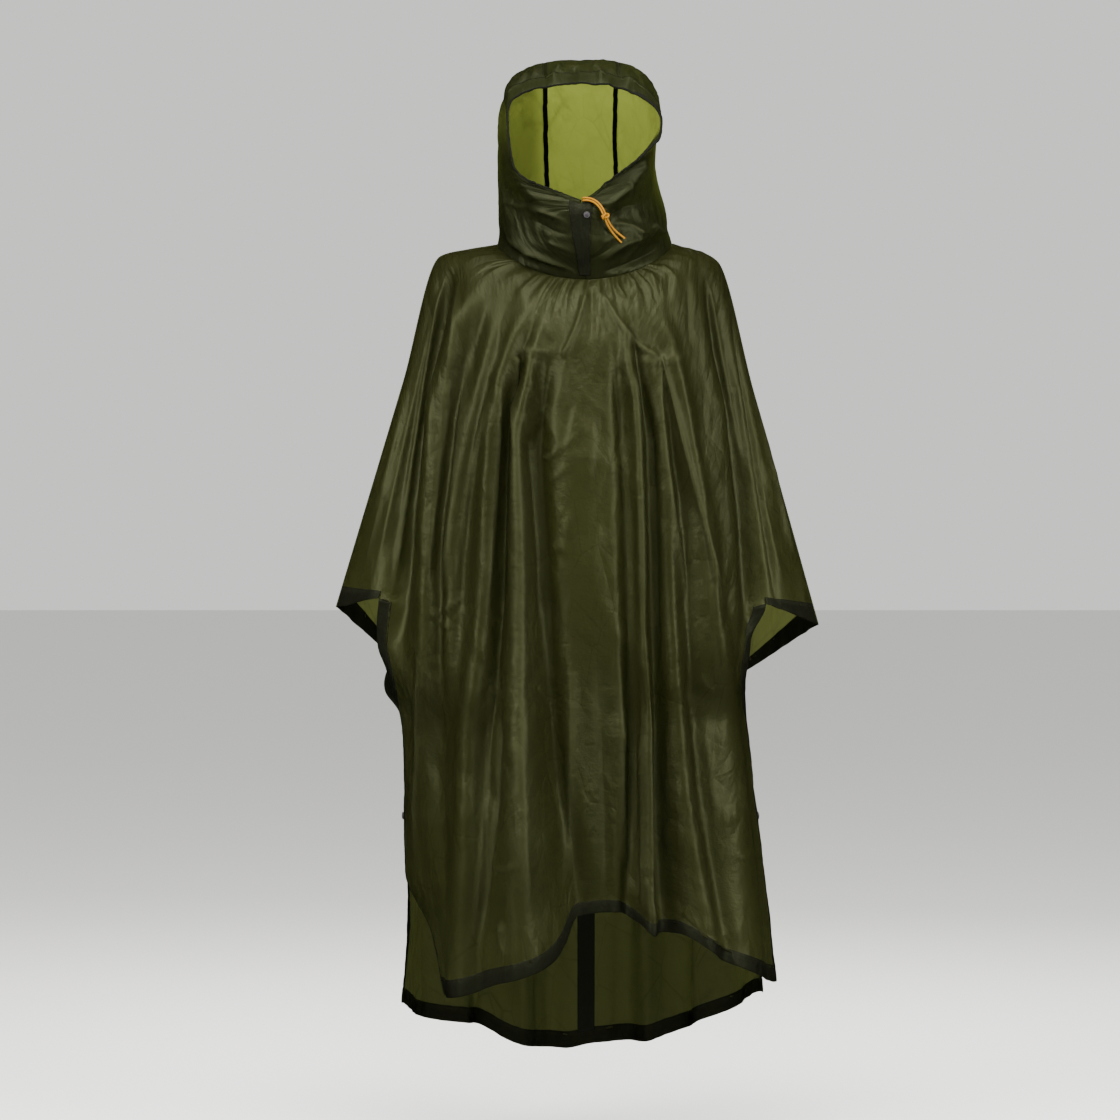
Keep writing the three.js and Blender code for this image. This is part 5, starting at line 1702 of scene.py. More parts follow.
@dataclass
class Hood:
    """The hood and collar: three sheets, the drawcord channel, seam tapes and the placket."""

    channel_rows: int = 6
    cloth_rows: int = 84
    side_cells: int = 84
    centre_cells: int = 44
    placket_cells: int = 7
    seed: int = 500
    t: Array = field(init=False)
    grid: ClothGrid = field(init=False)
    share: Array = field(init=False)

    def __post_init__(self) -> None:
        """Works out the rows and the grid."""
        edge = CHANNEL_WIDTH / HOOD_SIDE_LENGTH
        self.t = np.concatenate(
            [np.linspace(0, edge, self.channel_rows)[:-1], np.linspace(edge, 1, self.cloth_rows)]
        )
        self.grid = self.make_grid()

    @property
    def seam_left(self) -> int:
        """The column of the left seam."""
        return self.placket_cells + self.side_cells

    @property
    def seam_right(self) -> int:
        """The column of the right seam."""
        return self.seam_left + self.centre_cells

    @property
    def last(self) -> int:
        """The last column, at the slit's right edge."""
        return self.seam_right + self.side_cells + self.placket_cells

    def rings(self) -> tuple[Array, Array, Array]:
        """The hood's rings with their folds.

        Round a ring, a sample's share s goes from the centre front to the far side and back as
        (1 - cos a) / 2. Its half width goes as s to the pointed power times (1 - s) to the blunt
        one, over the most that this reaches, and near the face opening as the measured outline.
        It lies in a plane leaning by the ring's tilt.

        Returns:
            Points, each sample's share, and its side, all rows by samples.
        """
        t = self.t[:, None]
        sample = np.arange(RING_SAMPLES + 1)[None, :]
        is_left = sample <= RING_SAMPLES // 2
        turn = np.where(is_left, sample, RING_SAMPLES - sample) / (RING_SAMPLES / 2)
        share = (1 - np.cos(turn * math.pi)) / 2 + 0 * t
        at = HOOD_RINGS.at
        pointed = np.where(is_left, at("pointedLeft", t), at("pointedRight", t))
        blunt = at("blunt", t)
        peak = pointed / (pointed + blunt)
        most = peak**pointed * (1 - peak) ** blunt
        width = share**pointed * (1 - share) ** blunt / most
        side = np.where(is_left, -1.0, 1.0) + 0 * t
        half = np.where(is_left, at("halfLeft", t), at("halfRight", t))
        face = np.where(is_left, FACE_OUTLINE.at("left", share), FACE_OUTLINE.at("right", share))
        x = at("shift", t) + side * mix(half * width, face, 1 - smooth(t, 0, FACE_EDGE_SHARE))
        tilt = np.radians(at("tilt", t))
        y = at("footY", t) + at("reach", t) * share * np.sin(tilt)
        z = at("footZ", t) + at("reach", t) * share * np.cos(tilt)
        z += at("bow", t) * 4 * share * (1 - share)
        points = np.stack([x, y, z], axis=-1)
        step = np.empty_like(points)
        step[:, 1:-1] = points[:, 2:] - points[:, :-2]
        step[:, 0] = points[:, 1] - points[:, 0]
        step[:, -1] = points[:, -1] - points[:, -2]
        axis = np.stack([0 * tilt, -np.cos(tilt), np.sin(tilt)], axis=-1)
        out = unit(np.cross(step, np.broadcast_to(axis, step.shape)))
        depth = np.zeros_like(x)
        for fold_side, around, along, spread, run, deep in HOOD_FOLDS.values:
            p, q = (share - around) / spread, (t - along) / run
            depth += np.where(side == fold_side, deep * np.exp(-p * p - q * q), 0.0)
        depth *= smooth(t, 0, 0.08) * (1 - smooth(t, 0.94, 1))
        return points + out * depth[..., None], share, side

    def make_grid(self) -> ClothGrid:
        """The hood's grid, with columns along the placket's edges and the two seams."""
        points, share, side = self.rings()
        rows = len(self.t)
        base = np.broadcast_to(np.arange(RING_SAMPLES + 1.0), share.shape)
        far = share > 0.5
        from_shift = points[..., 0] - HOOD_RINGS.at("shift", self.t)[:, None]
        left = np.argmax(far & (side < 0) & (from_shift > -HOOD_CENTRE_HALF), axis=1)
        right = np.argmax(far & (side > 0) & (from_shift > HOOD_CENTRE_HALF), axis=1)
        none = np.zeros(rows)
        full = np.full(rows, float(RING_SAMPLES))
        stations = np.stack([none, none, left, right, full, full], axis=-1).astype(float)
        placket = mix(PLACKET_TOP_HALF, PLACKET_FOOT_HALF, self.t)
        offsets = np.stack(
            [none + HOOD_SLIT_HALF, placket, none, none, -placket, none - HOOD_SLIT_HALF], axis=-1
        )
        cells = np.array(
            [self.placket_cells, self.side_cells, self.centre_cells, self.side_cells, self.placket_cells]
        )
        moved, _, places = respace(points, base, stations, offsets, cells)
        self.share = interp_rows(places, row_lengths(points), share)
        down = np.linalg.norm(np.diff(moved, axis=0), axis=-1)
        down = np.concatenate([np.zeros((1, moved.shape[1])), np.cumsum(down, axis=0)])
        middle = (places[:, self.seam_left] + places[:, self.seam_right]) / 2
        cloth = np.stack([places - middle[:, None], -down], axis=-1)
        # Painted light and shade: the light let through the same cloth is painted brighter towards the hood's
        # back, dimmer over the top beside the face opening, and dimmer on the left wall.
        sheer_and_painted_glow = mix(0.42, 1.0, smooth(self.share, 0.3, 0.62))
        crown = smooth(self.share, 0.6, 0.8) * (1 - smooth(self.t[:, None], 0.15, 0.4))
        left_wall_shade = 1 - smooth(np.arange(self.last + 1), self.seam_left - 6, self.seam_left + 2)
        sheer_and_painted_glow *= (1 - 0.45 * crown) * (1 - 0.28 * left_wall_shade)[None, :]
        grid = ClothGrid(
            moved, grid_normals(moved, -1.0), cloth, -1.0, np.zeros(places.shape), sheer_and_painted_glow
        )
        self.wrinkle(grid)
        return grid

    def wrinkle(self, grid: ClothGrid) -> None:
        """Adds creases, crumple, gathers at the neck and along the channel, and puckers."""
        t = self.t[:, None]
        cloth = grid.cloth
        columns = np.arange(cloth.shape[1])[None, :]
        height, worn = crease_field(grid.points, HOOD_CREASES)
        seen = smooth(-grid.normals[..., 1], 0.0, 0.35)
        height = height * seen
        grid.crease = np.maximum(grid.crease, worn * seen)
        broad, broad_sharp = crumple(cloth, 44.0, 80.0, self.seed)
        fine, fine_sharp = crumple(cloth, 19.0, 30.0, self.seed + 20)
        patch = smooth(noise(cloth[..., 0] / 80.0, cloth[..., 1] / 80.0, self.seed + 40), -0.2, 0.6)
        far = smooth(self.share, 0.45, 0.6)
        height += (4.5 + 2.5 * far) * broad + (mix(0.8, 2.6, patch) + 1.0 * far) * fine
        brim = smooth(self.share, 0.5, 0.75) * (1 - smooth(t, 0.12, 0.35))
        pleat, pleat_sharp = crumple(cloth, 22.0, 48.0, self.seed + 30)
        height += 5.5 * brim * pleat
        grid.crease = np.maximum(grid.crease, 0.5 * brim * pleat_sharp)
        grid.crease = np.maximum(grid.crease, 0.5 * broad_sharp + 0.4 * fine_sharp * patch)
        along = cloth[..., 0]
        gather = noise(along / 11.0, t * 2.0 + 0 * along, self.seed + 60)
        gather += 0.5 * noise(along / 5.5, t * 5.0 + 0 * along, self.seed + 61)
        near_exit = np.exp(-((self.share / 0.3) ** 2))
        near_edge = np.exp(-t / 0.09) * mix(0.5, 3.2, near_exit)
        at_neck = np.exp(-((1 - t) / 0.07)) * 1.3
        height += gather * (near_edge + at_neck)
        pitch = 3.5
        seam = np.minimum(np.abs(columns - self.seam_left), np.abs(columns - self.seam_right)) * pitch
        height += 0.9 * np.exp(-seam / 8.0) * noise(
            cloth[..., 1] / 8.0, seam / 40.0 + 0 * along, self.seed + 62
        )
        height -= 0.8 * np.exp(-((seam / 4.0) ** 2))
        placket = np.minimum(columns, self.last - columns)
        under_placket = smooth(placket, self.placket_cells, self.placket_cells + 8)
        grid.push(height * under_placket * smooth(1 - t, 0, 0.03))

    def build(self) -> list[bpy.types.Object]:
        """Makes the three sheets, the channel, the seam tapes and the placket."""
        start, foot = self.channel_rows - 1, len(self.t) - 1
        pieces = []
        spans = {
            "hood_left": (0, self.seam_left),
            "hood_centre": (self.seam_left, self.seam_right),
            "hood_right": (self.seam_right, self.last),
        }
        for name, (first, last) in spans.items():
            part = self.grid.part(slice(start, foot + 1), slice(first, last + 1))
            piece = cloth_piece(f"{name}_sheet", part)
            dress(piece, HOOD_NYLON, name)
            pieces.append(piece)
        pieces.append(self.build_channel())
        for side, column in (("left", self.seam_left), ("right", self.seam_right)):
            pieces.append(self.build_tape(side, column))
        pieces.append(self.build_placket())
        return pieces

    def build_channel(self) -> bpy.types.Object:
        """The drawcord channel: the opening's edge turned in. Its dark bound edge, wide down the right
        of the opening and thin elsewhere, is a piece of its own.
        """
        points, normals = self.grid.points, self.grid.normals
        start = self.channel_rows - 1
        piece = band_piece(
            "hood_channel_band",
            points[start + 1],
            points[0],
            normals[start + 1],
            normals[0],
            2.6,
            self.seed + 70,
        )
        dress(piece, CHANNEL_NYLON, "hood_channel")
        return piece

    def build_binding(self) -> bpy.types.Object:
        """The dark binding that the opening's edge is turned into, widest down its right side.

        Its width goes from 2 mm at the top to 7 mm on the right, by the ring's share.
        """
        points, normals = self.grid.points, self.grid.normals
        columns = np.arange(points.shape[1])
        right = columns > (self.seam_left + self.seam_right) / 2
        share = self.share[0]
        wide = np.where(right, 5.0 * smooth(share, 0.2, 0.5) * (1 - smooth(share, 0.86, 0.97)), 0.0)
        width = 2.2 + wide
        inward = unit(points[0] - points[2])
        foot = points[0] + inward * 0.8
        top = foot - inward * width[:, None]
        piece = band_piece("hood_edge_binding", top, foot, normals[0], normals[0], 3.4, self.seed + 70)
        dress(piece, BINDING)
        return piece

    def build_tape(self, side: str, column: int) -> bpy.types.Object:
        """The tape over a seam's raw edges inside the hood."""
        rows = slice(self.channel_rows + 1, len(self.t) - 2)
        normals = self.grid.normals[rows, column]
        middle = self.grid.points[rows, column] - normals * (CLOTH / 2 + 0.2 + TAPE_THICK / 2)
        across = unit(self.grid.points[rows, column + 1] - self.grid.points[rows, column - 1])
        half = across * HOOD_TAPE_WIDTH / 2
        piece = band_piece(
            f"hood_tape_{side}_band",
            middle - half,
            middle + half,
            normals,
            normals,
            TAPE_THICK,
            self.seed + 80 + column,
        )
        dress(piece, WOVEN_TAPE, f"hood_tape_{side}")
        return piece

    def placket_grid(self) -> ClothGrid:
        """The placket's grid, across the slit from its left edge to its right one."""
        rows = slice(self.channel_rows, len(self.t) - 3)
        order = [*range(self.placket_cells, -1, -1), *range(self.last, self.last - self.placket_cells - 1, -1)]
        points = self.grid.points[rows][:, order]
        normals = self.grid.normals[rows][:, order]
        cloth = np.stack(
            [row_lengths(points), np.broadcast_to(self.grid.cloth[rows, :1, 1], points.shape[:2])],
            axis=-1,
        )
        offset = CLOTH / 2 + 0.5 + HEM_THICK / 2
        plain = np.zeros(points.shape[:2])
        return ClothGrid(points + normals * offset, normals, cloth, 1.0, plain, plain + 1.0)

    def build_placket(self) -> bpy.types.Object:
        """The dark placket over the slit, thinner towards its stitched edges.

        It is as thick as a hem less half of it times the exponential of minus the distance
        from the edge over 2 mm, with small puckers down both edges.
        """
        grid = self.placket_grid()
        across = grid.cloth[..., 0]
        edge = np.minimum(across, across[:, -1:] - across)
        edge = np.minimum(edge, np.abs(grid.cloth[..., 1] - grid.cloth[0, 0, 1]) + 0.0 * edge)
        thick = HEM_THICK * (1 - 0.55 * np.exp(-edge / 2.0))
        ripple = noise(grid.cloth[..., 1] / 7.0, across / 30.0, self.seed + 90)
        grid.points = grid.points + grid.normals * (0.5 * ripple * np.exp(-edge / 6.0))[..., None]
        piece = make_piece("hood_placket_cloth", *wall(grid, thick))
        dress(piece, HEM_NYLON, "hood_placket")
        return piece


@dataclass
class Stud:
    """A press stud's cap, turned from a profile: a rolled rim round a low dome."""

    node: str
    normal: Array
    radius: float
    height: float = 2.4
    sides: int = 40

    def build(self) -> bpy.types.Object:
        """Carries the profile round the stud's axis, at the place of its CAD node."""
        low, high = (np.array(corner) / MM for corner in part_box(self.node))
        up = unit(np.asarray(self.normal, float))
        across = unit(np.cross(up, [0.0, 0.0, 1.0]))
        beside = np.cross(across, up)
        base = (low + high) / 2 - up * self.height / 2
        profile = np.array(
            [
                [0.02, 0.0],
                [0.93, 0.0],
                [0.99, 0.1],
                [1.0, 0.3],
                [0.98, 0.52],
                [0.93, 0.66],
                [0.87, 0.7],
                [0.81, 0.66],
                [0.77, 0.58],
                [0.7, 0.66],
                [0.56, 0.84],
                [0.38, 0.95],
                [0.2, 1.0],
                [0.02, 1.0],
            ]
        )
        turn = np.arange(self.sides) / self.sides * 2 * math.pi
        round_it = np.cos(turn)[:, None] * across + np.sin(turn)[:, None] * beside
        points = base + profile[:, None, 0, None] * self.radius * round_it[None]
        points = points + profile[:, None, 1, None] * self.height * up
        rings = len(profile)
        number = np.arange(rings * self.sides).reshape(rings, self.sides)
        nxt = np.roll(number, -1, axis=1)
        quads = np.stack([number[:-1], nxt[:-1], nxt[1:], number[1:]], axis=-1).reshape(-1, 4)
        lower = np.arange(self.sides // 2 - 1)
        caps = [
            np.stack([r[lower], r[lower + 1], r[self.sides - 2 - lower], r[self.sides - 1 - lower]], -1)
            for r in (number[0], number[-1])
        ]
        quads = np.concatenate([quads, caps[0][:, ::-1], caps[1]])
        flat = points.reshape(-1, 3)
        if shell_volume(flat, quads) < 0:
            quads = quads[:, ::-1]
        rim = np.exp(-(((profile[:, 0] - 0.9) / 0.08) ** 2)) * (profile[:, 1] > 0.4)
        crease = np.repeat(rim, self.sides)
        piece = make_piece(f"{self.node}_cap", flat, quads, np.zeros((len(flat), 2)), crease)
        dress(piece, STUD, self.node)
        return piece


def catmull(points: Array, per_span: int) -> Array:
    """A smooth curve through points, a cubic between each two with slopes from their neighbours."""
    ends = np.concatenate([[2 * points[0] - points[1]], points, [2 * points[-1] - points[-2]]])
    f = (np.arange(per_span) / per_span)[None, :, None]
    a, b, c, d = (ends[k : len(ends) - 3 + k, None, :] for k in range(4))
    curve = 0.5 * (2 * b + (c - a) * f + (2 * a - 5 * b + 4 * c - d) * f**2 + (3 * b - a - 3 * c + d) * f**3)
    return np.concatenate([curve.reshape(-1, points.shape[1]), points[-1:]])


def tube(path: Array, radius: Array, sides: int, closed: bool = False) -> tuple[Array, Array]:
    """Carries circles along a path.

    Each circle stands square to the path, on two axes got from one fixed direction.

    Args:
        path: the path's points.
        radius: rings by sides, how far each vertex lies from the path.
        sides: vertices round a ring.
        closed: whether the path runs back into its start.

    Returns:
        Vertices and faces.
    """
    if closed:
        along = np.roll(path, -1, axis=0) - np.roll(path, 1, axis=0)
    else:
        along = np.gradient(path, axis=0)
    along = unit(along)
    fixed = np.array([0.31, 0.9, 0.3])
    first = unit(np.cross(along, fixed))
    second = np.cross(along, first)
    turn = np.arange(sides) / sides * 2 * math.pi
    ring = np.cos(turn)[None, :, None] * first[:, None] + np.sin(turn)[None, :, None] * second[:, None]
    points = path[:, None] + ring * radius[..., None]
    number = np.arange(points.shape[0] * sides).reshape(-1, sides)
    if closed:
        number = np.concatenate([number, number[:1]])
    nxt = np.roll(number, -1, axis=1)
    quads = np.stack([number[:-1], nxt[:-1], nxt[1:], number[1:]], axis=-1).reshape(-1, 4)
    flat = points.reshape(-1, 3)
    if not closed:
        lower = np.arange(sides // 2 - 1)
        caps = [
            np.stack([r[lower], r[lower + 1], r[sides - 2 - lower], r[sides - 1 - lower]], -1)
            for r in (number[0], number[-1])
        ]
        quads = np.concatenate([quads, caps[0][:, ::-1], caps[1]])
    if shell_volume(flat, quads) < 0:
        quads = quads[:, ::-1]
    return flat, quads


@dataclass
class Drawcord:
    """The hood's drawcord: two ends out of the channel at the centre front, tied together."""

    radius: float = 1.5
    knot_at: float = 7.4
    sides: int = 16
    braid_turns: int = 4
    braid_pitch: float = 3.4
    relief: float = 0.09

    def strand(self, side: int) -> Array:
        """One end's middle line, beside the shared route."""
        step = np.gradient(CORD_ROUTE, axis=0)
        step[:, 1] = 0.0
        beside = unit(np.cross(step, [0.0, 1.0, 0.0]))
        return CORD_ROUTE + beside * CORD_SPREAD[:, None] * side

    def braid(self, length: Array) -> tuple[Array, Array]:
        """A braid's relief: the higher of two screws that wind opposite ways round the cord.

        Args:
            length: how far along the cord each ring lies.

        Returns:
            Radius at each vertex, and how deep it lies in the braid from 0 to 1.
        """
        turn = (np.arange(self.sides) / self.sides * 2 * math.pi)[None, :]
        screw = 2 * math.pi * length[:, None] / self.braid_pitch
        one = np.cos(self.braid_turns * turn / 2 + screw) ** 2
        two = np.cos(self.braid_turns * turn / 2 - screw) ** 2
        high = np.maximum(one, two)
        return self.radius * (1 - self.relief * (1 - high)), 1 - high

    def build(self) -> list[bpy.types.Object]:
        knot = self.build_knot()
        pieces = [knot]
        for name, side in (("drawcord_left", -1), ("drawcord_right", 1)):
            path = catmull(self.strand(side), 16)
            steps = np.linalg.norm(np.diff(path, axis=0), axis=1)
            length = np.concatenate([[0.0], np.cumsum(steps)])
            radius, deep = self.braid(length)
            points, quads = tube(path, radius, self.sides)
            piece = make_piece(f"{name}_braid", points, quads, np.zeros((len(points), 2)), deep.reshape(-1))
            dress(piece, CORD, name)
            LOG.info("%s: %.1f mm of cord", piece.name, length[-1])
            pieces.append(piece)
        return pieces

    def build_knot(self) -> bpy.types.Object:
        """The overhand knot that ties the ends: a closed three-lobed winding round them."""
        before, after = CORD_ROUTE[int(self.knot_at)], CORD_ROUTE[int(self.knot_at) + 1]
        centre = mix(before, after, self.knot_at % 1)
        along = unit(CORD_ROUTE[int(self.knot_at) + 1] - CORD_ROUTE[int(self.knot_at) - 1])
        across = unit(np.cross(along, [0.0, 1.0, 0.0]))
        beside = np.cross(along, across)
        turn = np.arange(96) / 96 * 2 * math.pi
        reach = 4.6 + 1.3 * np.cos(3 * turn)
        rise = 2.6 * np.sin(3 * turn) + 0.6 * np.sin(turn)
        path = (
            centre
            + (reach * np.cos(2 * turn))[:, None] * across
            + (reach * np.sin(2 * turn))[:, None] * beside * 0.8
            + rise[:, None] * along
        )
        steps = np.linalg.norm(np.roll(path, -1, axis=0) - path, axis=1)
        length = np.concatenate([[0.0], np.cumsum(steps)[:-1]])
        radius, deep = self.braid(length)
        points, quads = tube(path, radius, self.sides, closed=True)
        piece = make_piece("drawcord_knot_tied", points, quads, np.zeros((len(points), 2)), deep.reshape(-1))
        dress(piece, CORD, "drawcord_knot")
        return piece


def stitch_rows(
    name: str, lines: Sequence[tuple[Array, Array]], pitch: float = 4.0, share: float = 0.72
) -> bpy.types.Object:
    """Rows of machine stitches: short threads with tapered ends, a pitch apart.

    Each stitch is a box whose ends are half as wide as its middle, laid along its line and
    standing on the cloth.

    Args:
        name: the piece's name.
        lines: each line's points and outward normals, already at the cloth's face.
        pitch: from stitch to stitch in mm.
        share: a stitch's length as a share of the pitch.

    Returns:
        The new piece.
    """
    starts, ends, ups = [], [], []
    for points, normals in lines:
        steps = np.linalg.norm(np.diff(points, axis=0), axis=1)
        length = np.concatenate([[0.0], np.cumsum(steps)])
        first = np.arange(pitch / 2, length[-1] - pitch, pitch)
        for at, keep in ((first, starts), (first + share * pitch, ends)):
            keep.append(np.stack([np.interp(at, length, points[:, k]) for k in range(3)], axis=-1))
        ups.append(unit(np.stack([np.interp(first, length, normals[:, k]) for k in range(3)], axis=-1)))
    start, end, up = np.concatenate(starts), np.concatenate(ends), np.concatenate(ups)
    beside = unit(np.cross(end - start, up))
    places = np.array([0.0, 0.5, 1.0])
    wide, high = np.array([0.16, 0.3, 0.16]), np.array([0.12, 0.5, 0.12])
    rings = []
    for place, across, rise in zip(places, wide, high):
        middle = mix(start, end, place)
        low, top = middle - up * 0.15, middle + up * rise
        rings.append(np.stack([low - beside * across, low + beside * across, top + beside * across, top - beside * across], 1))
    points = np.stack(rings, axis=1)
    count = len(points)
    ring = np.arange(4)
    nxt = (ring + 1) % 4
    side = np.concatenate(
        [np.stack([ring + 4 * k, nxt + 4 * k, nxt + 4 * k + 4, ring + 4 * k + 4], -1) for k in (0, 1)]
    )
    one = np.concatenate([side, [[3, 2, 1, 0]], [[8, 9, 10, 11]]])
    quads = (one[None] + 12 * np.arange(count)[:, None, None]).reshape(-1, 4)
    flat = points.reshape(-1, 3)
    if shell_volume(flat, quads) < 0:
        quads = quads[:, ::-1]
    piece = make_piece(name, flat, quads, np.zeros((len(flat), 2)))
    dress(piece, STITCH)
    return piece


@dataclass
class Studio:
    """The pale floor, soft lights and the camera."""

    floor_half: float = 60.0

    def build(self) -> None:
        """Makes the floor, lights, world and camera."""
        mesh = bpy.data.meshes.new("studio_floor")
        half = self.floor_half
        corners = np.array([[-half, -half], [half, -half], [half, half], [-half, half]])
        points = np.concatenate([corners, np.full((4, 1), FLOOR_Z * MM)], axis=1)
        fill_mesh(mesh, points, np.array([[0, 1, 2, 3]]))
        floor = bpy.data.objects.new("studio_floor", mesh)
        bpy.context.scene.collection.objects.link(floor)
        mesh.materials.append(FLOOR.build())
        floor.visible_glossy = False
        self.light("key", (-2.7, -2.6, 1.4), (0.0, 0.0, -0.5), 2.4, 300.0)
        self.light("fill", (2.9, -2.2, 0.7), (0.0, 0.0, -0.6), 2.4, 230.0)
        self.light("back", (0.3, 1.9, 1.5), (0.0, 0.0, 0.1), 1.0, 130.0, glossy=False)
        self.light("top", (0.0, -2.0, 2.2), (0.0, -0.1, -0.3), 1.5, 140.0)
        self.light("crown", (0.0, -0.9, 2.5), (0.0, -0.1, 0.2), 1.3, 70.0)
        self.paint_world()
        camera = bpy.data.cameras.new("photo_camera")
        camera.sensor_width = SENSOR
        camera.lens = SENSOR * VIEW_AWAY / (2 * VIEW_HALF * VIEW_PITCH)
        view = bpy.data.objects.new("photo_camera", camera)
        view.location = (VIEW_X * MM, -VIEW_AWAY * MM, VIEW_Z * MM)
        view.rotation_euler = (math.pi / 2, 0.0, 0.0)
        bpy.context.scene.collection.objects.link(view)
        bpy.context.scene.camera = view

    def light(
        self, name: str, place: tuple, aim: tuple, size: float, power: float, glossy: bool = True
    ) -> None:
        """A round soft light at a place, turned to a point.

        Args:
            name: the light's name.
            place: where it stands, in metres.
            aim: the point that it faces.
            size: its diameter.
            power: its power in watts.
            glossy: whether it shows in reflections.
        """
        lamp = bpy.data.lights.new(name, "AREA")
        lamp.shape = "DISK"
        lamp.size = size
        lamp.energy = power
        lamp.color = (1.0, 0.99, 0.97)
        holder = bpy.data.objects.new(name, lamp)
        holder.location = place
        holder.visible_glossy = glossy
        toward = unit(np.array(aim) - np.array(place))
        turn = math.atan2(-toward[0], toward[1])
        tip = math.acos(-toward[2])
        holder.rotation_euler = (tip, 0.0, turn)
        bpy.context.scene.collection.objects.link(holder)

    def paint_world(self) -> None:
        """An even pale surround, which the cloth doesn't mirror."""
        world = bpy.data.worlds.new("pale_surround")
        world.use_nodes = True
        background = world.node_tree.nodes["Background"]
        background.inputs["Color"].default_value = linear("#f4f4f2")
        background.inputs["Strength"].default_value = 1.0
        world.cycles_visibility.glossy = False
        bpy.context.scene.world = world


def face_line(grid: ClothGrid, index: tuple, rise: float) -> tuple[Array, Array]:
    """One line of a grid, moved out along its normals, with those normals."""
    normals = grid.normals[index]
    return grid.points[index] + normals * rise, normals


@dataclass
class ArmSeam:
    """The felled seam that joins the front to the back along one shoulder and arm.

    Its section runs from the front's first column over the fold to the back's, and lies on
    both panels with its lower face just inside theirs.
    """

    front: BodyPanel
    back: BodyPanel
    side: str
    thick: float = 1.2

    def grid(self) -> ClothGrid:
        """The seam's own grid, down the arm and across from front to back."""
        edge, inside = (0, 1) if self.side == "left" else (-1, -2)
        rows = slice(1, self.front.sleeve_row + 1)
        front, back = self.front.grid, self.back.grid
        crest = (front.points[rows, edge] + back.points[rows, edge]) / 2
        ends = [front.points[rows, inside], back.points[rows, inside]]
        lines = [ends[0], (ends[0] + crest) / 2, crest, (ends[1] + crest) / 2, ends[1]]
        points = np.stack(lines, axis=1)
        facing = -1.0 if self.side == "left" else 1.0
        normals = grid_normals(points, facing)
        points = points + normals * (CLOTH / 2 + self.thick / 2 - 0.15)
        down = front.cloth[rows, edge, 1]
        cloth = np.stack([row_lengths(points), np.broadcast_to(down[:, None], points.shape[:2])], -1)
        plain = np.zeros(points.shape[:2])
        return ClothGrid(points, normals, cloth, facing, plain, plain + 1.0)

    def build(self) -> list[bpy.types.Object]:
        """Makes the seam and its two rows of stitches."""
        grid = self.grid()
        welt = make_piece(f"arm_seam_{self.side}_welt", *wall(grid, self.thick))
        dress(welt, BODY_NYLON)
        rows = slice(2, -2)
        lines = [face_line(grid, (rows, column), self.thick / 2) for column in (1, 3)]
        return [welt, stitch_rows(f"arm_seam_{self.side}_stitches", lines)]


def panel_stitches(panel: BodyPanel) -> bpy.types.Object:
    """The stitches along a panel's hems, on their outer faces."""
    left, right = panel.wing_cells, panel.grid.points.shape[1] - 1 - panel.wing_cells
    sleeve, foot = panel.sleeve_row, panel.hem_row
    start = sleeve - panel.hem_rows + 1
    rise = HEM_THICK * 0.3
    inner_left, inner_right = left + panel.hem_cells, right - panel.hem_cells
    rows, body = slice(sleeve, foot), slice(left + 1, right)
    lines = [
        face_line(panel.grid, (start, slice(4, left)), rise),
        face_line(panel.grid, (start, slice(right + 1, -4)), rise),
        face_line(panel.grid, (rows, inner_left), rise),
        face_line(panel.grid, (rows, inner_right), rise),
        face_line(panel.grid, (foot, body), rise),
    ]
    return stitch_rows(f"{panel.name}_hem_stitches", lines)


def hood_stitches(hood: Hood) -> bpy.types.Object:
    """The stitches along the channel, both hood seams and the placket's edges."""
    grid = hood.grid
    start = hood.channel_rows - 1
    rows = slice(start + 2, len(hood.t) - 2)
    lines = [face_line(grid, (start + 1, slice(8, -8)), 0.9)]
    for column in (hood.seam_left - 1, hood.seam_left + 1, hood.seam_right - 1, hood.seam_right + 1):
        lines.append(face_line(grid, (rows, column), CLOTH / 2))
    placket = hood.placket_grid()
    for column in (1, -2):
        lines.append(face_line(placket, (slice(1, -1), column), HEM_THICK / 2 - 0.1))
    return stitch_rows("hood_stitches", lines, pitch=3.4)


def stud_normal(grid: ClothGrid, node: str) -> Array:
    """The outward normal of the grid's point nearest to a CAD stud."""
    low, high = (np.array(corner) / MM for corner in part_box(node))
    away = np.linalg.norm(grid.points - (low + high) / 2, axis=-1)
    row, column = np.unravel_index(away.argmin(), away.shape)
    return grid.normals[row, column]


def sheet_area(piece: bpy.types.Object) -> float:
    """Half of a thin wall's whole surface, in square metres: one side of its cloth."""
    return sum(face.area for face in piece.data.polygons) / 2


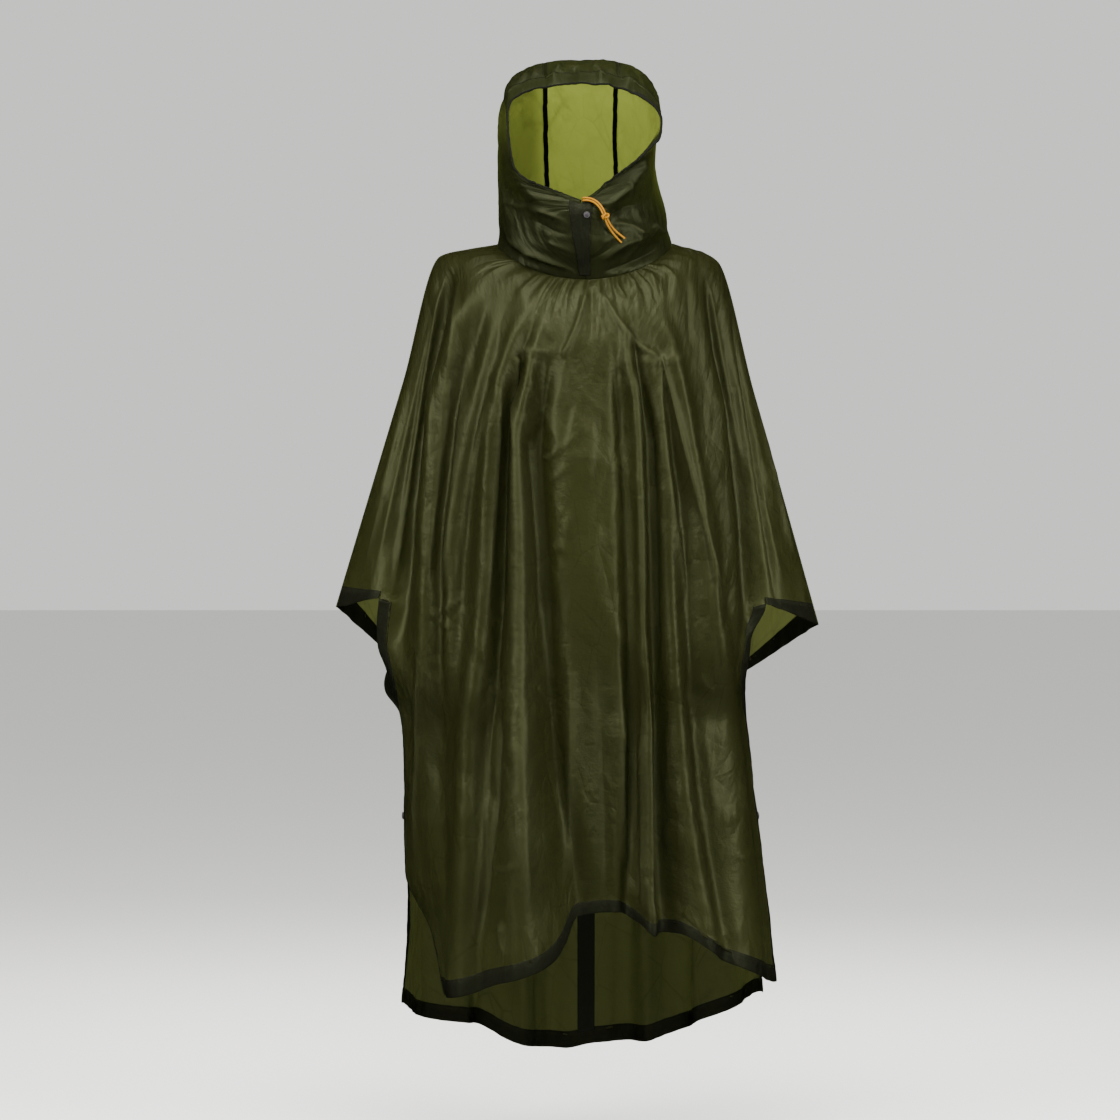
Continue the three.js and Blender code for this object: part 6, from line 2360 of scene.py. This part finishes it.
def declare_sheet(piece: bpy.types.Object, flat: tuple[float, float], pieces: list) -> None:
    """Logs a sheet's cut and the cloth's own area."""
    LOG.info("%s: %.3f square metres of cloth, cut %s", piece.name, sheet_area(piece), flat)
    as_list(pieces)


def main() -> None:
    """Builds the studio, the cord, the hood, both panels and their trim."""
    logging.basicConfig(level=logging.INFO, format="%(name)s %(message)s")
    Studio().build()
    cords = Drawcord().build()
    LOG.info("drawcord: %d pieces", len(cords))
    hood = Hood()
    hood_pieces = hood.build()
    hood_pieces += [hood.build_binding(), hood_stitches(hood)]
    LOG.info("hood: %d pieces", len(hood_pieces))
    front = BodyPanel(
        name="front",
        is_front=True,
        sections=FRONT_SECTIONS,
        hem_line=FRONT_HEM_LINE,
        folds=FRONT_FOLDS,
        wing_folds=2,
        column_pitch=3.5,
        wing_cells=30,
        upper_rows=105,
        lower_rows=100,
        seed=11,
    )
    back = BodyPanel(
        name="back",
        is_front=False,
        sections=BACK_SECTIONS,
        hem_line=BACK_HEM_LINE,
        folds=BACK_FOLDS,
        wing_folds=2,
        column_pitch=4.0,
        wing_cells=30,
        upper_rows=105,
        lower_rows=105,
        tape_x=BACK_TAPE_X,
        seed=211,
    )
    front_pieces = front.build() + [panel_stitches(front)]
    back_pieces = back.build() + [back.build_tape(), panel_stitches(back)]
    for side in ("left", "right"):
        front_pieces += ArmSeam(front, back, side).build()
    LOG.info("panels: %d pieces", len(front_pieces) + len(back_pieces))
    studs = [
        Stud("placket_stud", stud_normal(hood.placket_grid(), "placket_stud"), 5.0).build(),
        Stud("side_stud_left", stud_normal(front.grid, "side_stud_left"), 6.0).build(),
        Stud("side_stud_right", stud_normal(front.grid, "side_stud_right"), 6.0).build(),
    ]
    LOG.info("studs: %d", len(studs))
    declare_sheet(front_pieces[0], (1.44, 1.22), front_pieces[1:] + studs[1:])
    declare_sheet(back_pieces[0], (1.44, 1.4), back_pieces[1:])
    declare_sheet(hood_pieces[0], (0.38, 0.4), [])
    declare_sheet(hood_pieces[1], (0.13, 0.48), hood_pieces[3:] + studs[:1])
    declare_sheet(hood_pieces[2], (0.38, 0.4), [])


if __name__ == "__main__":
    main()
